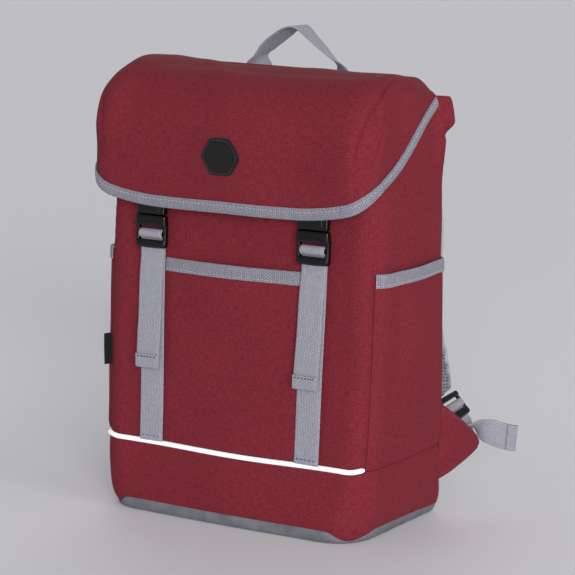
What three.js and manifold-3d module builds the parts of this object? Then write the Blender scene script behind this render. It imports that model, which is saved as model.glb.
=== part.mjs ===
// A hooded backpack, in millimetres with +Z up.
// The front faces -Y, and the origin is the middle of the base where it meets the floor.
// Cloth pieces are thin walls on a few smooth sections, so the bag is hollow and open under its lid.
import * as THREE from "three";
import { mergeVertices } from "three/addons/utils/BufferGeometryUtils.js";
import ManifoldModule from "manifold-3d";

const GAP = 0.3; // clearance between sewn neighbours
const CLOTH = 1.6; // outer cloth with its lining
const TAPE = { width: 11, thickness: 1.1, insideLeg: 7 }; // binding tape
const WEB = { width: 25, thickness: 1.6 }; // webbing

// Outline of the bag at each height: a rounded rectangle whose front and sides swell a little.
const BODY_COLUMNS = [
  "z",
  "halfWidth",
  "middle",
  "front",
  "back",
  "frontRadius",
  "backRadius",
  "frontSwell",
  "sideSwell",
];
const BODY_SECTIONS = [
  [0, 135, -2.8, -75.5, 77.5, 38, 14, 1.5, 0],
  [12, 140.3, -2.8, -75.5, 77.5, 35, 14, 2, 1],
  [36, 143, -2.8, -72.5, 77, 30, 20, 4, 2],
  [66, 144.3, -2.3, -69.5, 77, 27, 22, 5, 2],
  [140, 145, -1, -65, 77, 24, 25, 4, 2],
  [231, 145, -0.5, -59.5, 77, 23, 28, 3, 2],
  [290, 144.5, 0, -55.5, 77, 23, 27, 3, 1],
  [345, 141, 0, -52, 76.5, 24, 26, 2, 0.5],
  [372, 139.5, 0, -50, 75, 26, 26, 0, 0],
  [384, 138, 0, -49, 69, 26, 24, 0, 0],
  [390, 135, 0, -48.5, 60, 26, 24, 0, 0],
  [395, 132, 0, -48, 44.8, 26, 24, 0, 0],
  [399, 130, 0, -47, 32, 26, 24, 0, 0],
].map((row) => Object.fromEntries(BODY_COLUMNS.map((name, i) => [name, row[i]])));

// The outline runs round in eight stretches, each one unit long: left side, front left corner, front,
// front right corner, right side, back right corner, back, back left corner.
const RUNS = 8;
const SEAM = { left: 1.45, right: 3.55, backRight: 5.6, backLeft: 7.4, slit: 0.01 };
const MIDDLE = 2.5; // middle of the front on the outline

const PIPING = { z: 66, radius: 2.3, proud: 0.6 };
const RIM = { front: 366, sideFront: 372, sideRear: 384 };
const COLLAR = {
  depth: 15,
  from: 4.5,
  along: 5.35,
  reach: 0.4,
  creaseFront: 340,
  creaseRear: 350,
  rise: 11,
  rowShare: 0.86,
};
const BASE = { floor: 3, wall: 2, crescent: 11, corner: 2.5, rear: 4.5 };
const BACK_PAD = {
  halfWidth: 104,
  bottom: 42,
  top: 338,
  thickness: 10,
  round: 4,
  lowCorner: 22,
  highCorner: 26,
  waist: 4,
};

// The lid: a hood with a nearly flat top, rounded over to a skirt that hangs to a bound edge.
const LID = {
  halfWidth: 145.5,
  flare: 0.045,
  front: -79,
  rear: 44.5,
  cornerRadius: 28,
  topRadius: 18,
  swell: 4,
  wall: 2,
  crown: 409.6,
  crownY: -5,
  dome: 0.005,
  tilt: 0.02,
  spine: 100,
  taper: 3.5,
  sideRound: 22,
  sideDrop: 14,
  frontRound: 50,
  frontDrop: 64,
  topShare: 0.22,
  roundShare: 0.62,
  hangFrom: 0.5,
  hangTo: 1.1,
  endsFrom: 80,
  endsTo: 118,
  leftRise: 2.8,
  rightRise: 1.5,
};
// Height of the lid's free edge, by the distance along the outline from the middle of its front.
const LID_EDGE = [
  { along: 0, z: 286.8 },
  { along: 0.25, z: 286.5 },
  { along: 0.35, z: 287.2 },
  { along: 0.45, z: 290 },
  { along: 0.5, z: 292.2 },
  { along: 0.6, z: 293.3 },
  { along: 0.8, z: 296.5 },
  { along: 1, z: 301.4 },
  { along: 1.25, z: 308.2 },
  { along: 1.5, z: 314.8 },
  { along: 1.75, z: 327.3 },
  { along: 2, z: 345.5 },
  { along: 2.25, z: 363.5 },
  { along: 2.5, z: 378 },
];
const RIDGE = { radius: 2, inset: 12.5, left: -120, right: 70 };
const PATCH = { x: 1, z: 336, radius: 21.5, corner: 20.2, lean: 0.9, thickness: 1.4 };

const FRONT_POCKET = { halfWidth: 80, bindingHalfWidth: 72.6, top: 236.5, slack: 3, lift: 0.4 };
const SIDE_POCKET = { end: 5.3, top: 239, slack: 2.5, lift: 0.4 };

// Closing straps: lengths are measured up from the bottom of the buckle's lower bar.
const STRAP = {
  x: 86.2,
  footX: 83.5,
  lift: 3.8,
  start: 69.2,
  fixedEnd: 241.5,
  tailStart: 237.5,
  tailEnd: 138,
  tailOff: 4.5,
  hem: 11,
  hemRadius: 0.9,
  hemRise: 0.4,
};
const BUCKLE = {
  bottom: 245.5,
  halfWidth: 16.5,
  slotHalfWidth: 13,
  back: 1.2,
  front: 8,
  lowerBar: 6,
  lowerBarBack: 3.3,
  windowTop: 20.5,
  plugTop: 30,
  barAt: 12.75,
  barOut: 3.5,
  barRadius: 2.2,
  wrap: 235,
  doubled: 2.05,
  tuck: [6.6, 2.3],
  exit: 4.8,
  bevel: 0.6,
};
const SOCKET = {
  halfWidth: 15,
  bottom: 30.4,
  top: 52,
  notch: 41.5,
  barAt: 49,
  barOut: 4.9,
  barRadius: 1.7,
};
const HANGER = { top: 86, next: 78, wrap: 2.6, rear: 62 };

// Carrying handle at the rear seam of the lid: turn is the angle from X to Y of the webbing's width.
const HANDLE_Y = 62;
const HANDLE = [
  { x: -54, z: 389.1, turn: 0 },
  { x: -54, z: 398, turn: 22 },
  { x: -54, z: 405, turn: 60 },
  { x: -52.5, z: 411, turn: 90 },
  { x: -45, z: 418.9, turn: 80 },
  { x: -36.4, z: 426, turn: 72 },
  { x: -26.5, z: 432.8, turn: 72 },
  { x: -17.6, z: 438.5, turn: 80 },
  { x: -10.5, z: 440.3, turn: 86 },
  { x: -5, z: 438.5, turn: 92 },
  { x: 4, z: 431, turn: 100 },
  { x: 13.7, z: 423, turn: 106 },
  { x: 23.5, z: 414.7, turn: 116 },
  { x: 31, z: 408, turn: 126 },
  { x: 35, z: 400, turn: 156 },
  { x: 35, z: 389.1, turn: 180 },
];

// Padded shoulder strap of the right side: sections from the seam on the back down to the adjuster.
const SHOULDER = [
  { x: 44.5, y: 76.7, z: 362, width: 54, thickness: 9, turn: 0 },
  { x: 45.5, y: 86, z: 363, width: 56, thickness: 11, turn: 0 },
  { x: 49.5, y: 97, z: 358, width: 58, thickness: 12, turn: 2 },
  { x: 56.5, y: 106, z: 344, width: 60, thickness: 12, turn: 4 },
  { x: 68.5, y: 113, z: 318, width: 62, thickness: 12, turn: 6 },
  { x: 79.5, y: 116, z: 284, width: 62, thickness: 12, turn: 8 },
  { x: 84.5, y: 115, z: 244, width: 62, thickness: 12, turn: 10 },
  { x: 85.5, y: 113, z: 204, width: 60, thickness: 12, turn: 14 },
  { x: 88.5, y: 112, z: 164, width: 56, thickness: 12, turn: 20 },
  { x: 95.5, y: 115, z: 128, width: 48, thickness: 11, turn: 32 },
  { x: 104.5, y: 121, z: 103, width: 38, thickness: 9, turn: 50 },
  { x: 110, y: 124, z: 94, width: 32, thickness: 7, turn: 62 },
];
const PAD_ROUND = 0.42; // radius of a padded strap's edges, as a share of its thickness
const LOCK = { x: 111.2, y: 124.8, z: 93.3, length: 25, front: 7, halfWidth: 15.5, lean: 0.15 };
const TAB = {
  top: 106,
  bottom: 32,
  fromSeam: 0.2,
  tipX: 146.5,
  tipY: 129,
  tipZ: 55,
  tipHeight: 9,
  thickness: 3,
  bow: 3,
};
// Loose end of the right shoulder webbing, after the adjuster: turn is how far its width stands up.
const TAIL = [
  { x: 134.5, y: 127.5, z: 69.8, turn: 4 },
  { x: 140, y: 128.6, z: 69.2, turn: 16 },
  { x: 146.5, y: 131, z: 68.2, turn: 36 },
  { x: 153.5, y: 134.6, z: 65.2, turn: 56 },
  { x: 161, y: 139, z: 62, turn: 74 },
  { x: 169, y: 143.4, z: 59.4, turn: 86 },
  { x: 177.5, y: 147, z: 58.5, turn: 90 },
];
const LABEL = { low: 131, high: 160, reach: 8, thickness: 1.2, root: 0.06, facing: 0.35 };

const COLOURS = {
  cloth: 0x86182b,
  webbing: 0x8d8c95,
  base: 0x5d5d63,
  mesh: 0x6d6d73,
  plastic: 0x101012,
  reflector: 0xe9ebf0,
};

const wasm = await ManifoldModule();
wasm.setup();

const UP = new THREE.Vector3(0, 0, 1);
const ACROSS = new THREE.Vector3(1, 0, 0);
const { lerp, smoothstep, degToRad } = THREE.MathUtils;

// A smooth reading of a table: the first column is the parameter, the others come back by name.
function smoothTable(rows) {
  const [first, ...names] = Object.keys(rows[0]);
  const places = rows.map((row) => row[first]);
  const samples = rows.flatMap((row) => names.map((name) => row[name]));
  const curve = new THREE.CubicInterpolant(places, samples, names.length, new Float64Array(names.length));
  return (at) => {
    const values = curve.evaluate(THREE.MathUtils.clamp(at, places[0], places.at(-1)));
    return Object.fromEntries(names.map((name, i) => [name, values[i]]));
  };
}

// Evenly spaced values, with the joins of several stretches shared.
function steps(...stretches) {
  const values = [stretches[0][0]];
  for (const [from, to, count] of stretches) {
    for (let i = 1; i <= count; i++) {
      values.push(lerp(from, to, i / count));
    }
  }
  return values;
}

function geometryFrom(points, faces) {
  const geometry = new THREE.BufferGeometry().setFromPoints(points);
  geometry.setIndex(faces);
  geometry.computeVertexNormals();
  return geometry;
}

// A sheet with thickness: outer and inner give the two skins at (u, v), and the rims close it.
function slab(us, vs, outer, inner) {
  const columns = us.length;
  const rows = vs.length;
  const points = [];
  for (const skin of [outer, inner]) {
    for (const v of vs) {
      for (const u of us) {
        points.push(skin(u, v));
      }
    }
  }
  const out = (i, j) => j * columns + i;
  const inn = (i, j) => rows * columns + out(i, j);
  const faces = [];
  const quad = (a, b, c, d) => faces.push(a, b, c, a, c, d);
  for (let j = 0; j + 1 < rows; j++) {
    for (let i = 0; i + 1 < columns; i++) {
      quad(out(i, j), out(i + 1, j), out(i + 1, j + 1), out(i, j + 1));
      quad(inn(i, j), inn(i, j + 1), inn(i + 1, j + 1), inn(i + 1, j));
    }
    quad(out(0, j), out(0, j + 1), inn(0, j + 1), inn(0, j));
    quad(out(columns - 1, j + 1), out(columns - 1, j), inn(columns - 1, j), inn(columns - 1, j + 1));
  }
  for (let i = 0; i + 1 < columns; i++) {
    quad(out(i + 1, 0), out(i, 0), inn(i, 0), inn(i + 1, 0));
    quad(out(i, rows - 1), out(i + 1, rows - 1), inn(i + 1, rows - 1), inn(i, rows - 1));
  }
  return geometryFrom(points, faces);
}

// Triangles that close a ring, facing along the ring's own turning sense.
function ringCap(ring) {
  const normal = new THREE.Vector3();
  ring.forEach((point, i) => normal.add(point.clone().cross(ring[(i + 1) % ring.length])));
  normal.normalize();
  const across = ring[1].clone().sub(ring[0]).projectOnPlane(normal).normalize();
  const along = normal.clone().cross(across);
  const flat = ring.map((point) => new THREE.Vector2(point.dot(across), point.dot(along)));
  return THREE.ShapeUtils.triangulateShape(flat, []);
}

// Closed rings of points stacked along a path, with both ends capped.
function ringStack(rings) {
  const count = rings[0].length;
  const last = (rings.length - 1) * count;
  const faces = [];
  for (let j = 0; j + 1 < rings.length; j++) {
    for (let i = 0; i < count; i++) {
      const a = j * count + i;
      const b = j * count + ((i + 1) % count);
      faces.push(a, b, b + count, a, b + count, a + count);
    }
  }
  for (const [a, b, c] of ringCap(rings[0])) {
    faces.push(a, c, b);
  }
  for (const [a, b, c] of ringCap(rings.at(-1))) {
    faces.push(last + a, last + b, last + c);
  }
  return geometryFrom(rings.flat(), faces);
}

// A flat band carried along points, each with the direction of the band's width.
function band(path, width, thickness) {
  const skin = (side) => (u, v) => {
    const before = path[Math.max(v - 1, 0)].point;
    const after = path[Math.min(v + 1, path.length - 1)].point;
    const along = after.clone().sub(before).normalize();
    const across = path[v].across.clone().projectOnPlane(along).normalize();
    const normal = across.clone().cross(along);
    return path[v].point
      .clone()
      .addScaledVector(across, (u * width) / 2)
      .addScaledVector(normal, (side * thickness) / 2);
  };
  return slab([-1, 1], [...path.keys()], skin(1), skin(-1));
}

// Point on a rounded-rectangle outline: s counts stretches round it, inset moves it inwards.
function outlinePoint(section, s, inset = 0) {
  const wrapped = THREE.MathUtils.euclideanModulo(s, RUNS);
  const run = Math.floor(wrapped);
  const share = wrapped - run;
  const { halfWidth, middle = 0, front, back, frontRadius, backRadius, frontSwell, sideSwell } = section;
  const wide = halfWidth - frontRadius;
  const rearWide = halfWidth - backRadius;
  const sideFront = front + frontRadius;
  const sideBack = back - backRadius;
  const sideX = halfWidth - inset + sideSwell * Math.sin(Math.PI * share) ** 2;
  const frontY = front + inset - frontSwell * Math.sin(Math.PI * share) ** 2;
  const arc = (x, y, radius, start) => {
    const angle = start + (share * Math.PI) / 2;
    return [x + (radius - inset) * Math.cos(angle), y + (radius - inset) * Math.sin(angle)];
  };
  const runs = [
    () => [-sideX, lerp(sideBack, sideFront, share)],
    () => arc(-wide, sideFront, frontRadius, Math.PI),
    () => [lerp(-wide, wide, share), frontY],
    () => arc(wide, sideFront, frontRadius, 1.5 * Math.PI),
    () => [sideX, lerp(sideFront, sideBack, share)],
    () => arc(rearWide, sideBack, backRadius, 0),
    () => [lerp(rearWide, -rearWide, share), back - inset],
    () => arc(-rearWide, sideBack, backRadius, Math.PI / 2),
  ];
  const [x, y] = runs[run]();
  return [x + middle, y];
}

const bodySection = smoothTable(BODY_SECTIONS);
const lidEdge = smoothTable(LID_EDGE);
const mirrored = (s) => 2 * MIDDLE - s;
const rightHand = (s) => (s > MIDDLE + RUNS / 2 ? mirrored(s) + RUNS : Math.max(s, mirrored(s)));

// The collar is folded outwards at each rear top corner, above a slanting crease.
function collarFold(s, z) {
  const near = Math.abs(rightHand(s) - COLLAR.along) / COLLAR.reach;
  const rearward = smoothstep(rightHand(s), COLLAR.from, COLLAR.along);
  const crease = lerp(COLLAR.creaseFront, COLLAR.creaseRear, rearward);
  const bell = near < 1 ? Math.cos((near * Math.PI) / 2) ** 2 : 0;
  return COLLAR.depth * bell * smoothstep(z, crease, crease + COLLAR.rise);
}

// Point on the bag's outer face, moved out from it.
function bodyPoint(s, z, out = 0) {
  const [x, y] = outlinePoint(bodySection(z), s, -out - collarFold(s, z));
  return new THREE.Vector3(x, y, z);
}
const outward = (s, z) => bodyPoint(s, z, 1).sub(bodyPoint(s, z)).setZ(0).normalize();

// Place on the front where a distance across is reached.
function frontAt(x, z) {
  const { halfWidth, middle, frontRadius } = bodySection(z);
  return MIDDLE + (x - middle) / (2 * (halfWidth - frontRadius));
}
const frontY = (x, z) => bodyPoint(frontAt(x, z), z).y;

// A profile of (up, out) pairs carried along frames that have a point, an up and an out direction.
function carried(frames, profile) {
  const place = (frame) => ([up, out]) =>
    frame.point.clone().addScaledVector(frame.up, up).addScaledVector(frame.out, out);
  return ringStack(frames.map((frame) => profile.map(place(frame))));
}

// Wall of the bag between two seams: low and high give its lower and upper edge.
function bodyWall(us, rows, low, high, lift = 0, slack = () => 0) {
  const skin = (out) => (u, v) => {
    const z = lerp(low(u), high(u), v);
    return bodyPoint(u, z, out + slack(u, v));
  };
  return slab(us, rows, skin(lift + CLOTH), skin(lift));
}

const part = new THREE.Group();
part.name = "backpack";
const materials = {
  cloth: new THREE.MeshStandardMaterial({ color: COLOURS.cloth, roughness: 0.9 }),
  webbing: new THREE.MeshStandardMaterial({ color: COLOURS.webbing, roughness: 0.85 }),
  base: new THREE.MeshStandardMaterial({ color: COLOURS.base, roughness: 0.9 }),
  mesh: new THREE.MeshStandardMaterial({ color: COLOURS.mesh, roughness: 0.95 }),
  plastic: new THREE.MeshStandardMaterial({ color: COLOURS.plastic, roughness: 0.35 }),
  reflector: new THREE.MeshStandardMaterial({ color: COLOURS.reflector, roughness: 0.4 }),
};
function add(name, material, geometry, parent = part) {
  const mesh = new THREE.Mesh(geometry, materials[material].clone());
  mesh.name = name;
  parent.add(mesh);
  return mesh;
}

// Height of the seam between the base and the walls: high along each side, low at the corners.
function baseSeam(s) {
  const place = rightHand(s);
  const share = place - Math.floor(place);
  if (place < 3) {
    return BASE.crescent;
  }
  if (place < 4) {
    return lerp(BASE.crescent, BASE.corner, Math.sin(Math.PI * share) ** 2);
  }
  return place < 5 ? lerp(BASE.crescent, BASE.rear, share) : BASE.rear;
}

function addShell() {
  const wall = (us, rows, low, high) => bodyWall(us, rows, low, high, -CLOTH);
  const lowRows = steps([0, 1, 4]);
  const tallRows = steps([0, 1, 10]);
  const collarRows = steps([0, COLLAR.rowShare, 7], [COLLAR.rowShare, 1, 6]);

  const frontUs = steps([SEAM.left + SEAM.slit, 2, 3], [2, 3, 8], [3, SEAM.right - SEAM.slit, 3]);
  const frontLow = () => PIPING.z + PIPING.radius + GAP;
  add("front_panel", "cloth", wall(frontUs, tallRows, frontLow, () => RIM.front));

  const sideRim = (s) => lerp(RIM.sideFront, RIM.sideRear, smoothstep(rightHand(s), 4, 5));
  const sideUs = steps([SEAM.right, 4, 3], [4, 5, 5], [5, SEAM.backRight - SEAM.slit, 5]);
  const sideLow = () => PIPING.z + GAP / 2;
  add("side_panel_right", "cloth", wall(sideUs, collarRows, sideLow, sideRim));
  add("side_panel_left", "cloth", wall(sideUs.map(mirrored).reverse(), collarRows, sideLow, sideRim));

  const onPiping = (s) => s >= SEAM.left && s <= SEAM.right;
  const bandTop = (s) => PIPING.z - (onPiping(s) ? PIPING.radius + GAP : GAP / 2);
  const bandUs = steps(
    [mirrored(SEAM.backRight) + SEAM.slit, 0, 3],
    [0, 1, 3],
    [1, SEAM.left - SEAM.slit, 3],
    [SEAM.left - SEAM.slit, SEAM.left, 1],
    [SEAM.left, 2, 3],
    [2, 3, 8],
    [3, SEAM.right, 3],
    [SEAM.right, SEAM.right + SEAM.slit, 1],
    [SEAM.right + SEAM.slit, 4, 3],
    [4, 5, 3],
    [5, SEAM.backRight - SEAM.slit, 3],
  );
  add("lower_band", "cloth", wall(bandUs, lowRows, (s) => baseSeam(s) + GAP, bandTop));

  const backUs = steps([SEAM.backRight + SEAM.slit, 6, 2], [6, 7, 6], [7, SEAM.backLeft - SEAM.slit, 2]);
  const backRows = steps([0, COLLAR.rowShare, 5], [COLLAR.rowShare, 1, 6]);
  const backTop = (s) => lidTop(bodyPoint(s, RIM.sideRear).x, LID.rear) - LID.wall - 2 * GAP;
  add("back_panel", "cloth", wall(backUs, backRows, (s) => baseSeam(s) + GAP, backTop));

  const loop = steps(
    [0, 1, 3],
    [1, SEAM.left, 3],
    [SEAM.left, 2, 3],
    [2, 3, 8],
    [3, SEAM.right, 3],
    [SEAM.right, 4, 3],
    [4, 5, 3],
    [5, 6, 3],
    [6, 7, 5],
    [7, 8, 3],
  ).slice(0, -1);
  const ring = (height, inset) => loop.map((s) => bodyPoint(s, height(s), -inset));
  const rings = [
    ring(() => 0, 0),
    ring((s) => baseSeam(s) / 2, 0),
    ring(baseSeam, 0),
    ring(baseSeam, BASE.wall),
    ring(() => BASE.floor, BASE.wall + 1),
  ];
  add("base_panel", "base", ringStack(rings));

  const { halfWidth, bottom, top, thickness, round, lowCorner, highCorner, waist } = BACK_PAD;
  const corner = 4;
  const around = steps(
    [0, 1, 4],
    [1, 2, corner],
    [2, 3, 2],
    [3, 4, corner],
    [4, 5, 4],
    [5, 6, corner],
    [6, 7, 2],
    [7, 8, corner],
  ).slice(0, -1);
  const padRing = (y, inset) => {
    const section = {
      halfWidth: halfWidth - inset,
      front: bottom + inset,
      back: top - inset,
      frontRadius: lowCorner,
      backRadius: highCorner,
      frontSwell: 0,
      sideSwell: -waist,
    };
    const points = around.map((s) => outlinePoint(section, s));
    return points.map(([x, z]) => new THREE.Vector3(x, y, z)).reverse();
  };
  const face = bodySection(bottom).back + 2 * GAP;
  const pad = [padRing(face, 0), padRing(face + thickness - round, 0), padRing(face + thickness, round)];
  add("back_pad", "mesh", ringStack(pad));
}

// Height of the lid's top: highest across the middle, lower to the rear seam and to the right, and drawn up
// a little at both ends.
function lidTop(x, y) {
  const leftEnd = LID.leftRise * smoothstep(-x, LID.endsFrom, LID.endsTo);
  const rightEnd = LID.rightRise * smoothstep(x, LID.endsFrom, LID.endsTo);
  return LID.crown - LID.dome * (y - LID.crownY) ** 2 - LID.tilt * x + leftEnd + rightEnd;
}
const LID_SECTION = {
  halfWidth: LID.halfWidth,
  front: LID.front,
  back: LID.rear,
  frontRadius: LID.cornerRadius,
  backRadius: 0,
  frontSwell: LID.swell,
  sideSwell: 1,
};

// Outline of the lid's flat top, which the rounding starts from.
const LID_TOP = {
  ...LID_SECTION,
  halfWidth: LID.halfWidth - LID.sideRound,
  front: LID.front + LID.frontRound,
  frontRadius: LID.topRadius,
  frontSwell: 0,
  sideSwell: 0,
};

// Outline of the lid: it flares a little towards the front.
function lidOutline(s, inset = 0) {
  const [x, y] = outlinePoint(LID_SECTION, s, inset);
  return [x * (1 + (LID.flare * (LID.rear - y)) / (LID.rear - LID.front)), y];
}

// Point on the lid's outer face: v runs from the rear seam over the top, round the edge and down the skirt.
function lidPoint(s, v) {
  const facing = smoothstep(Math.abs(s - MIDDLE), 1.2, 2.2);
  const drop = lerp(LID.frontDrop, LID.sideDrop, facing);
  const [x, y] = lidOutline(s);
  const [topX, topY] = outlinePoint(LID_TOP, s);
  const shoulder = lidTop(topX, topY);
  if (v <= LID.topShare) {
    const share = v / LID.topShare;
    const px = lerp(lerp(-LID.spine, LID.spine, s / (2 * MIDDLE)), topX, share);
    const py = lerp(LID.rear, topY, share);
    return new THREE.Vector3(px, py, lidTop(px, py));
  }
  if (v <= LID.roundShare) {
    const angle = ((v - LID.topShare) / (LID.roundShare - LID.topShare)) * (Math.PI / 2);
    const reach = Math.sin(angle);
    const fall = drop * (1 - Math.cos(angle));
    return new THREE.Vector3(lerp(topX, x, reach), lerp(topY, y, reach), shoulder - fall);
  }
  const share = (v - LID.roundShare) / (1 - LID.roundShare);
  // The skirt hangs straight at its left corner.
  const flared = Math.max(facing, smoothstep(MIDDLE - s, LID.hangFrom, LID.hangTo));
  const [skirtX, skirtY] = lidOutline(s, LID.taper * (1 - flared) * share ** 1.5);
  const edge = lidEdge(Math.abs(s - MIDDLE)).z;
  return new THREE.Vector3(skirtX, skirtY, lerp(shoulder - drop, edge, share));
}

// Unit normal of the lid's outer face, from nearby points on it.
function lidNormal(s, v) {
  const reach = 1e-3;
  const end = 2 * MIDDLE;
  const along = lidPoint(Math.min(s + reach, end), v).sub(lidPoint(Math.max(s - reach, 0), v));
  const down = lidPoint(s, Math.min(v + reach, 1)).sub(lidPoint(s, Math.max(v - reach, 0)));
  return down.cross(along).normalize();
}
const lidInside = (s, v, depth) => lidPoint(s, v).addScaledVector(lidNormal(s, v), -depth);

// Share v of the lid at a height on its front.
function lidShareAt(s, z) {
  let low = LID.topShare;
  let high = 1;
  for (let i = 0; i < 40; i++) {
    const middle = (low + high) / 2;
    if (lidPoint(s, middle).z > z) {
      low = middle;
    } else {
      high = middle;
    }
  }
  return low;
}
const lidFrontAt = (x) => MIDDLE + x / (1 + LID.flare) / (2 * (LID.halfWidth - LID.cornerRadius));

function addLid() {
  const us = steps([0, 1, 5], [1, 2, 6], [2, 3, 8], [3, 4, 6], [4, 5, 5]);
  const { topShare, roundShare } = LID;
  const vs = steps([0, topShare, 3], [topShare, roundShare, 6], [roundShare, 1, 4]).reverse();
  add("lid_flap", "cloth", slab(us, vs, lidPoint, (u, v) => lidInside(u, v, LID.wall)));

  const edgeFrames = us.map((s) => {
    const point = lidPoint(s, 1);
    const up = lidPoint(s, 0.97).sub(point).normalize();
    return { point, up, out: lidNormal(s, 1) };
  });
  const fold = -GAP - TAPE.thickness;
  const inner = -LID.wall - 2 * GAP;
  const profile = [
    [fold, inner - TAPE.thickness],
    [TAPE.insideLeg, inner - TAPE.thickness],
    [TAPE.insideLeg, inner],
    [-GAP, inner],
    [-GAP, GAP],
    [TAPE.width + fold, GAP],
    [TAPE.width + fold, GAP + TAPE.thickness],
    [fold, GAP + TAPE.thickness],
  ];
  add("flap_binding", "webbing", carried(edgeFrames, profile));

  const ridgeFrames = steps([RIDGE.left, RIDGE.right, 14]).map((x) => {
    const y = LID.rear - RIDGE.inset;
    const lift = RIDGE.radius + GAP;
    const point = new THREE.Vector3(x, y, lidTop(x, y) + lift);
    return { point, up: UP, out: new THREE.Vector3(0, -1, 0) };
  });
  add("flap_ridge", "cloth", carried(ridgeFrames, roundProfile(RIDGE.radius, 8)));

  const spokes = 36;
  const hexagon = (lift, share) =>
    [...Array(spokes).keys()].map((i) => {
      const angle = (2 * Math.PI * i) / spokes;
      const fromSide = (angle % (Math.PI / 3)) - Math.PI / 6;
      const side = (PATCH.radius * Math.cos(Math.PI / 6)) / Math.cos(fromSide);
      const reach = share * Math.min(side, PATCH.corner);
      const s = lidFrontAt(PATCH.x + reach * Math.cos(angle));
      const v = lidShareAt(s, PATCH.z + PATCH.lean * reach * Math.sin(angle));
      return lidInside(s, v, -lift);
    });
  const face = GAP + PATCH.thickness;
  const rings = [hexagon(GAP, 0.5), hexagon(GAP, 1), hexagon(face, 1), hexagon(face, 0.5)];
  add("flap_patch", "plastic", ringStack(rings));
}

function roundProfile(radius, sides) {
  return [...Array(sides).keys()].map((i) => {
    const angle = (2 * Math.PI * i) / sides;
    return [radius * Math.cos(angle), radius * Math.sin(angle)];
  });
}

// Tape along a pocket's top edge: a face on the outside and a lip over the edge.
const pocketTape = [
  [-TAPE.width, GAP],
  [GAP, GAP],
  [GAP, -CLOTH],
  [GAP + TAPE.thickness, -CLOTH],
  [GAP + TAPE.thickness, GAP + TAPE.thickness],
  [-TAPE.width, GAP + TAPE.thickness],
];

function addPockets() {
  const swell = (share) => Math.sin(Math.PI * share) ** 2;
  const pocket = (name, us, tapeUs, top, shape) => {
    const from = us[0];
    const slack = (u, v) => shape.slack * v ** 2 * swell((u - from) / (us.at(-1) - from));
    const low = () => PIPING.z + PIPING.radius + 2 * GAP;
    add(name, "cloth", bodyWall(us, steps([0, 1, 5]), low, () => top, shape.lift, slack));
    const frames = tapeUs.map((s) => {
      const share = 1 - TAPE.width / (top - low());
      const point = bodyPoint(s, top, shape.lift + CLOTH + slack(s, 1));
      const below = bodyPoint(s, top - TAPE.width, shape.lift + CLOTH + slack(s, share));
      return { point, up: point.clone().sub(below).normalize(), out: outward(s, top) };
    });
    const tapeName = name.replace("pocket", "pocket_binding");
    add(tapeName, "webbing", carried(frames, pocketTape));
  };
  const across = (halfWidth, count) =>
    steps([-halfWidth, halfWidth, count]).map((x) => frontAt(x, FRONT_POCKET.top));
  const { halfWidth, bindingHalfWidth } = FRONT_POCKET;
  const count = 8;
  const pocketUs = across(halfWidth, count);
  pocket("front_pocket", pocketUs, across(bindingHalfWidth, count), FRONT_POCKET.top, FRONT_POCKET);
  const right = steps([SEAM.right, 4, 3], [4, 5, 5], [5, SIDE_POCKET.end, 2]);
  const left = right.map(mirrored).reverse();
  pocket("side_pocket_right", right, right, SIDE_POCKET.top, SIDE_POCKET);
  pocket("side_pocket_left", left, left, SIDE_POCKET.top, SIDE_POCKET);
}

function addTrim() {
  const us = steps([SEAM.left + SEAM.slit, 2, 4], [2, 3, 10], [3, SEAM.right - SEAM.slit, 4]);
  const frames = us.map((s) => ({
    point: bodyPoint(s, PIPING.z, PIPING.proud),
    up: UP,
    out: outward(s, PIPING.z),
  }));
  add("reflective_piping", "reflector", carried(frames, roundProfile(PIPING.radius, 6)));

  const root = bodyPoint(SEAM.left + LABEL.root, LABEL.low, GAP);
  const reach = outward(SEAM.left + LABEL.facing, LABEL.low);
  const side = reach.clone().cross(UP);
  const skin = (lift) => (u, v) =>
    root
      .clone()
      .addScaledVector(reach, u)
      .addScaledVector(side, lift)
      .setZ(v);
  const half = LABEL.thickness / 2;
  const label = slab([0, LABEL.reach], [LABEL.low, LABEL.high], skin(half), skin(-half));
  add("side_label", "plastic", label);
}

// Booleans on closed meshes.
function toSolid(geometry) {
  const bare = geometry.clone();
  bare.deleteAttribute("normal");
  bare.deleteAttribute("uv");
  const merged = mergeVertices(bare, 1e-4);
  return new wasm.Manifold(
    new wasm.Mesh({
      numProp: 3,
      vertProperties: merged.attributes.position.array,
      triVerts: new Uint32Array(merged.index.array),
    }),
  );
}
function fromSolid(solid) {
  const mesh = solid.getMesh();
  const geometry = new THREE.BufferGeometry();
  geometry.setAttribute("position", new THREE.BufferAttribute(mesh.vertProperties, 3));
  geometry.setIndex(new THREE.BufferAttribute(mesh.triVerts, 1));
  geometry.computeVertexNormals();
  return geometry;
}

// A flat outline from corners, each cut off by its own small round.
function roundedShape(corners, radius) {
  const shape = new THREE.Shape();
  const points = corners.map(([x, y]) => new THREE.Vector2(x, y));
  points.forEach((corner, i) => {
    const before = points.at(i - 1).clone().sub(corner).setLength(radius).add(corner);
    const after = points[(i + 1) % points.length].clone().sub(corner).setLength(radius).add(corner);
    if (i === 0) {
      shape.moveTo(before.x, before.y);
    } else {
      shape.lineTo(before.x, before.y);
    }
    shape.quadraticCurveTo(corner.x, corner.y, after.x, after.y);
  });
  shape.closePath();
  return shape;
}
function plate(shape, back, front) {
  const { bevel } = BUCKLE;
  const geometry = new THREE.ExtrudeGeometry(shape, {
    depth: front - back - 2 * bevel,
    curveSegments: 2,
    bevelThickness: bevel,
    bevelSize: bevel,
    bevelOffset: -bevel,
    bevelSegments: 1,
  });
  return geometry.translate(0, 0, back + bevel);
}
function crossBar(halfLength, at, out, radius) {
  const bar = new THREE.CylinderGeometry(radius, radius, 2 * halfLength, 10);
  return bar.rotateZ(Math.PI / 2).translate(0, at, out);
}

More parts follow.
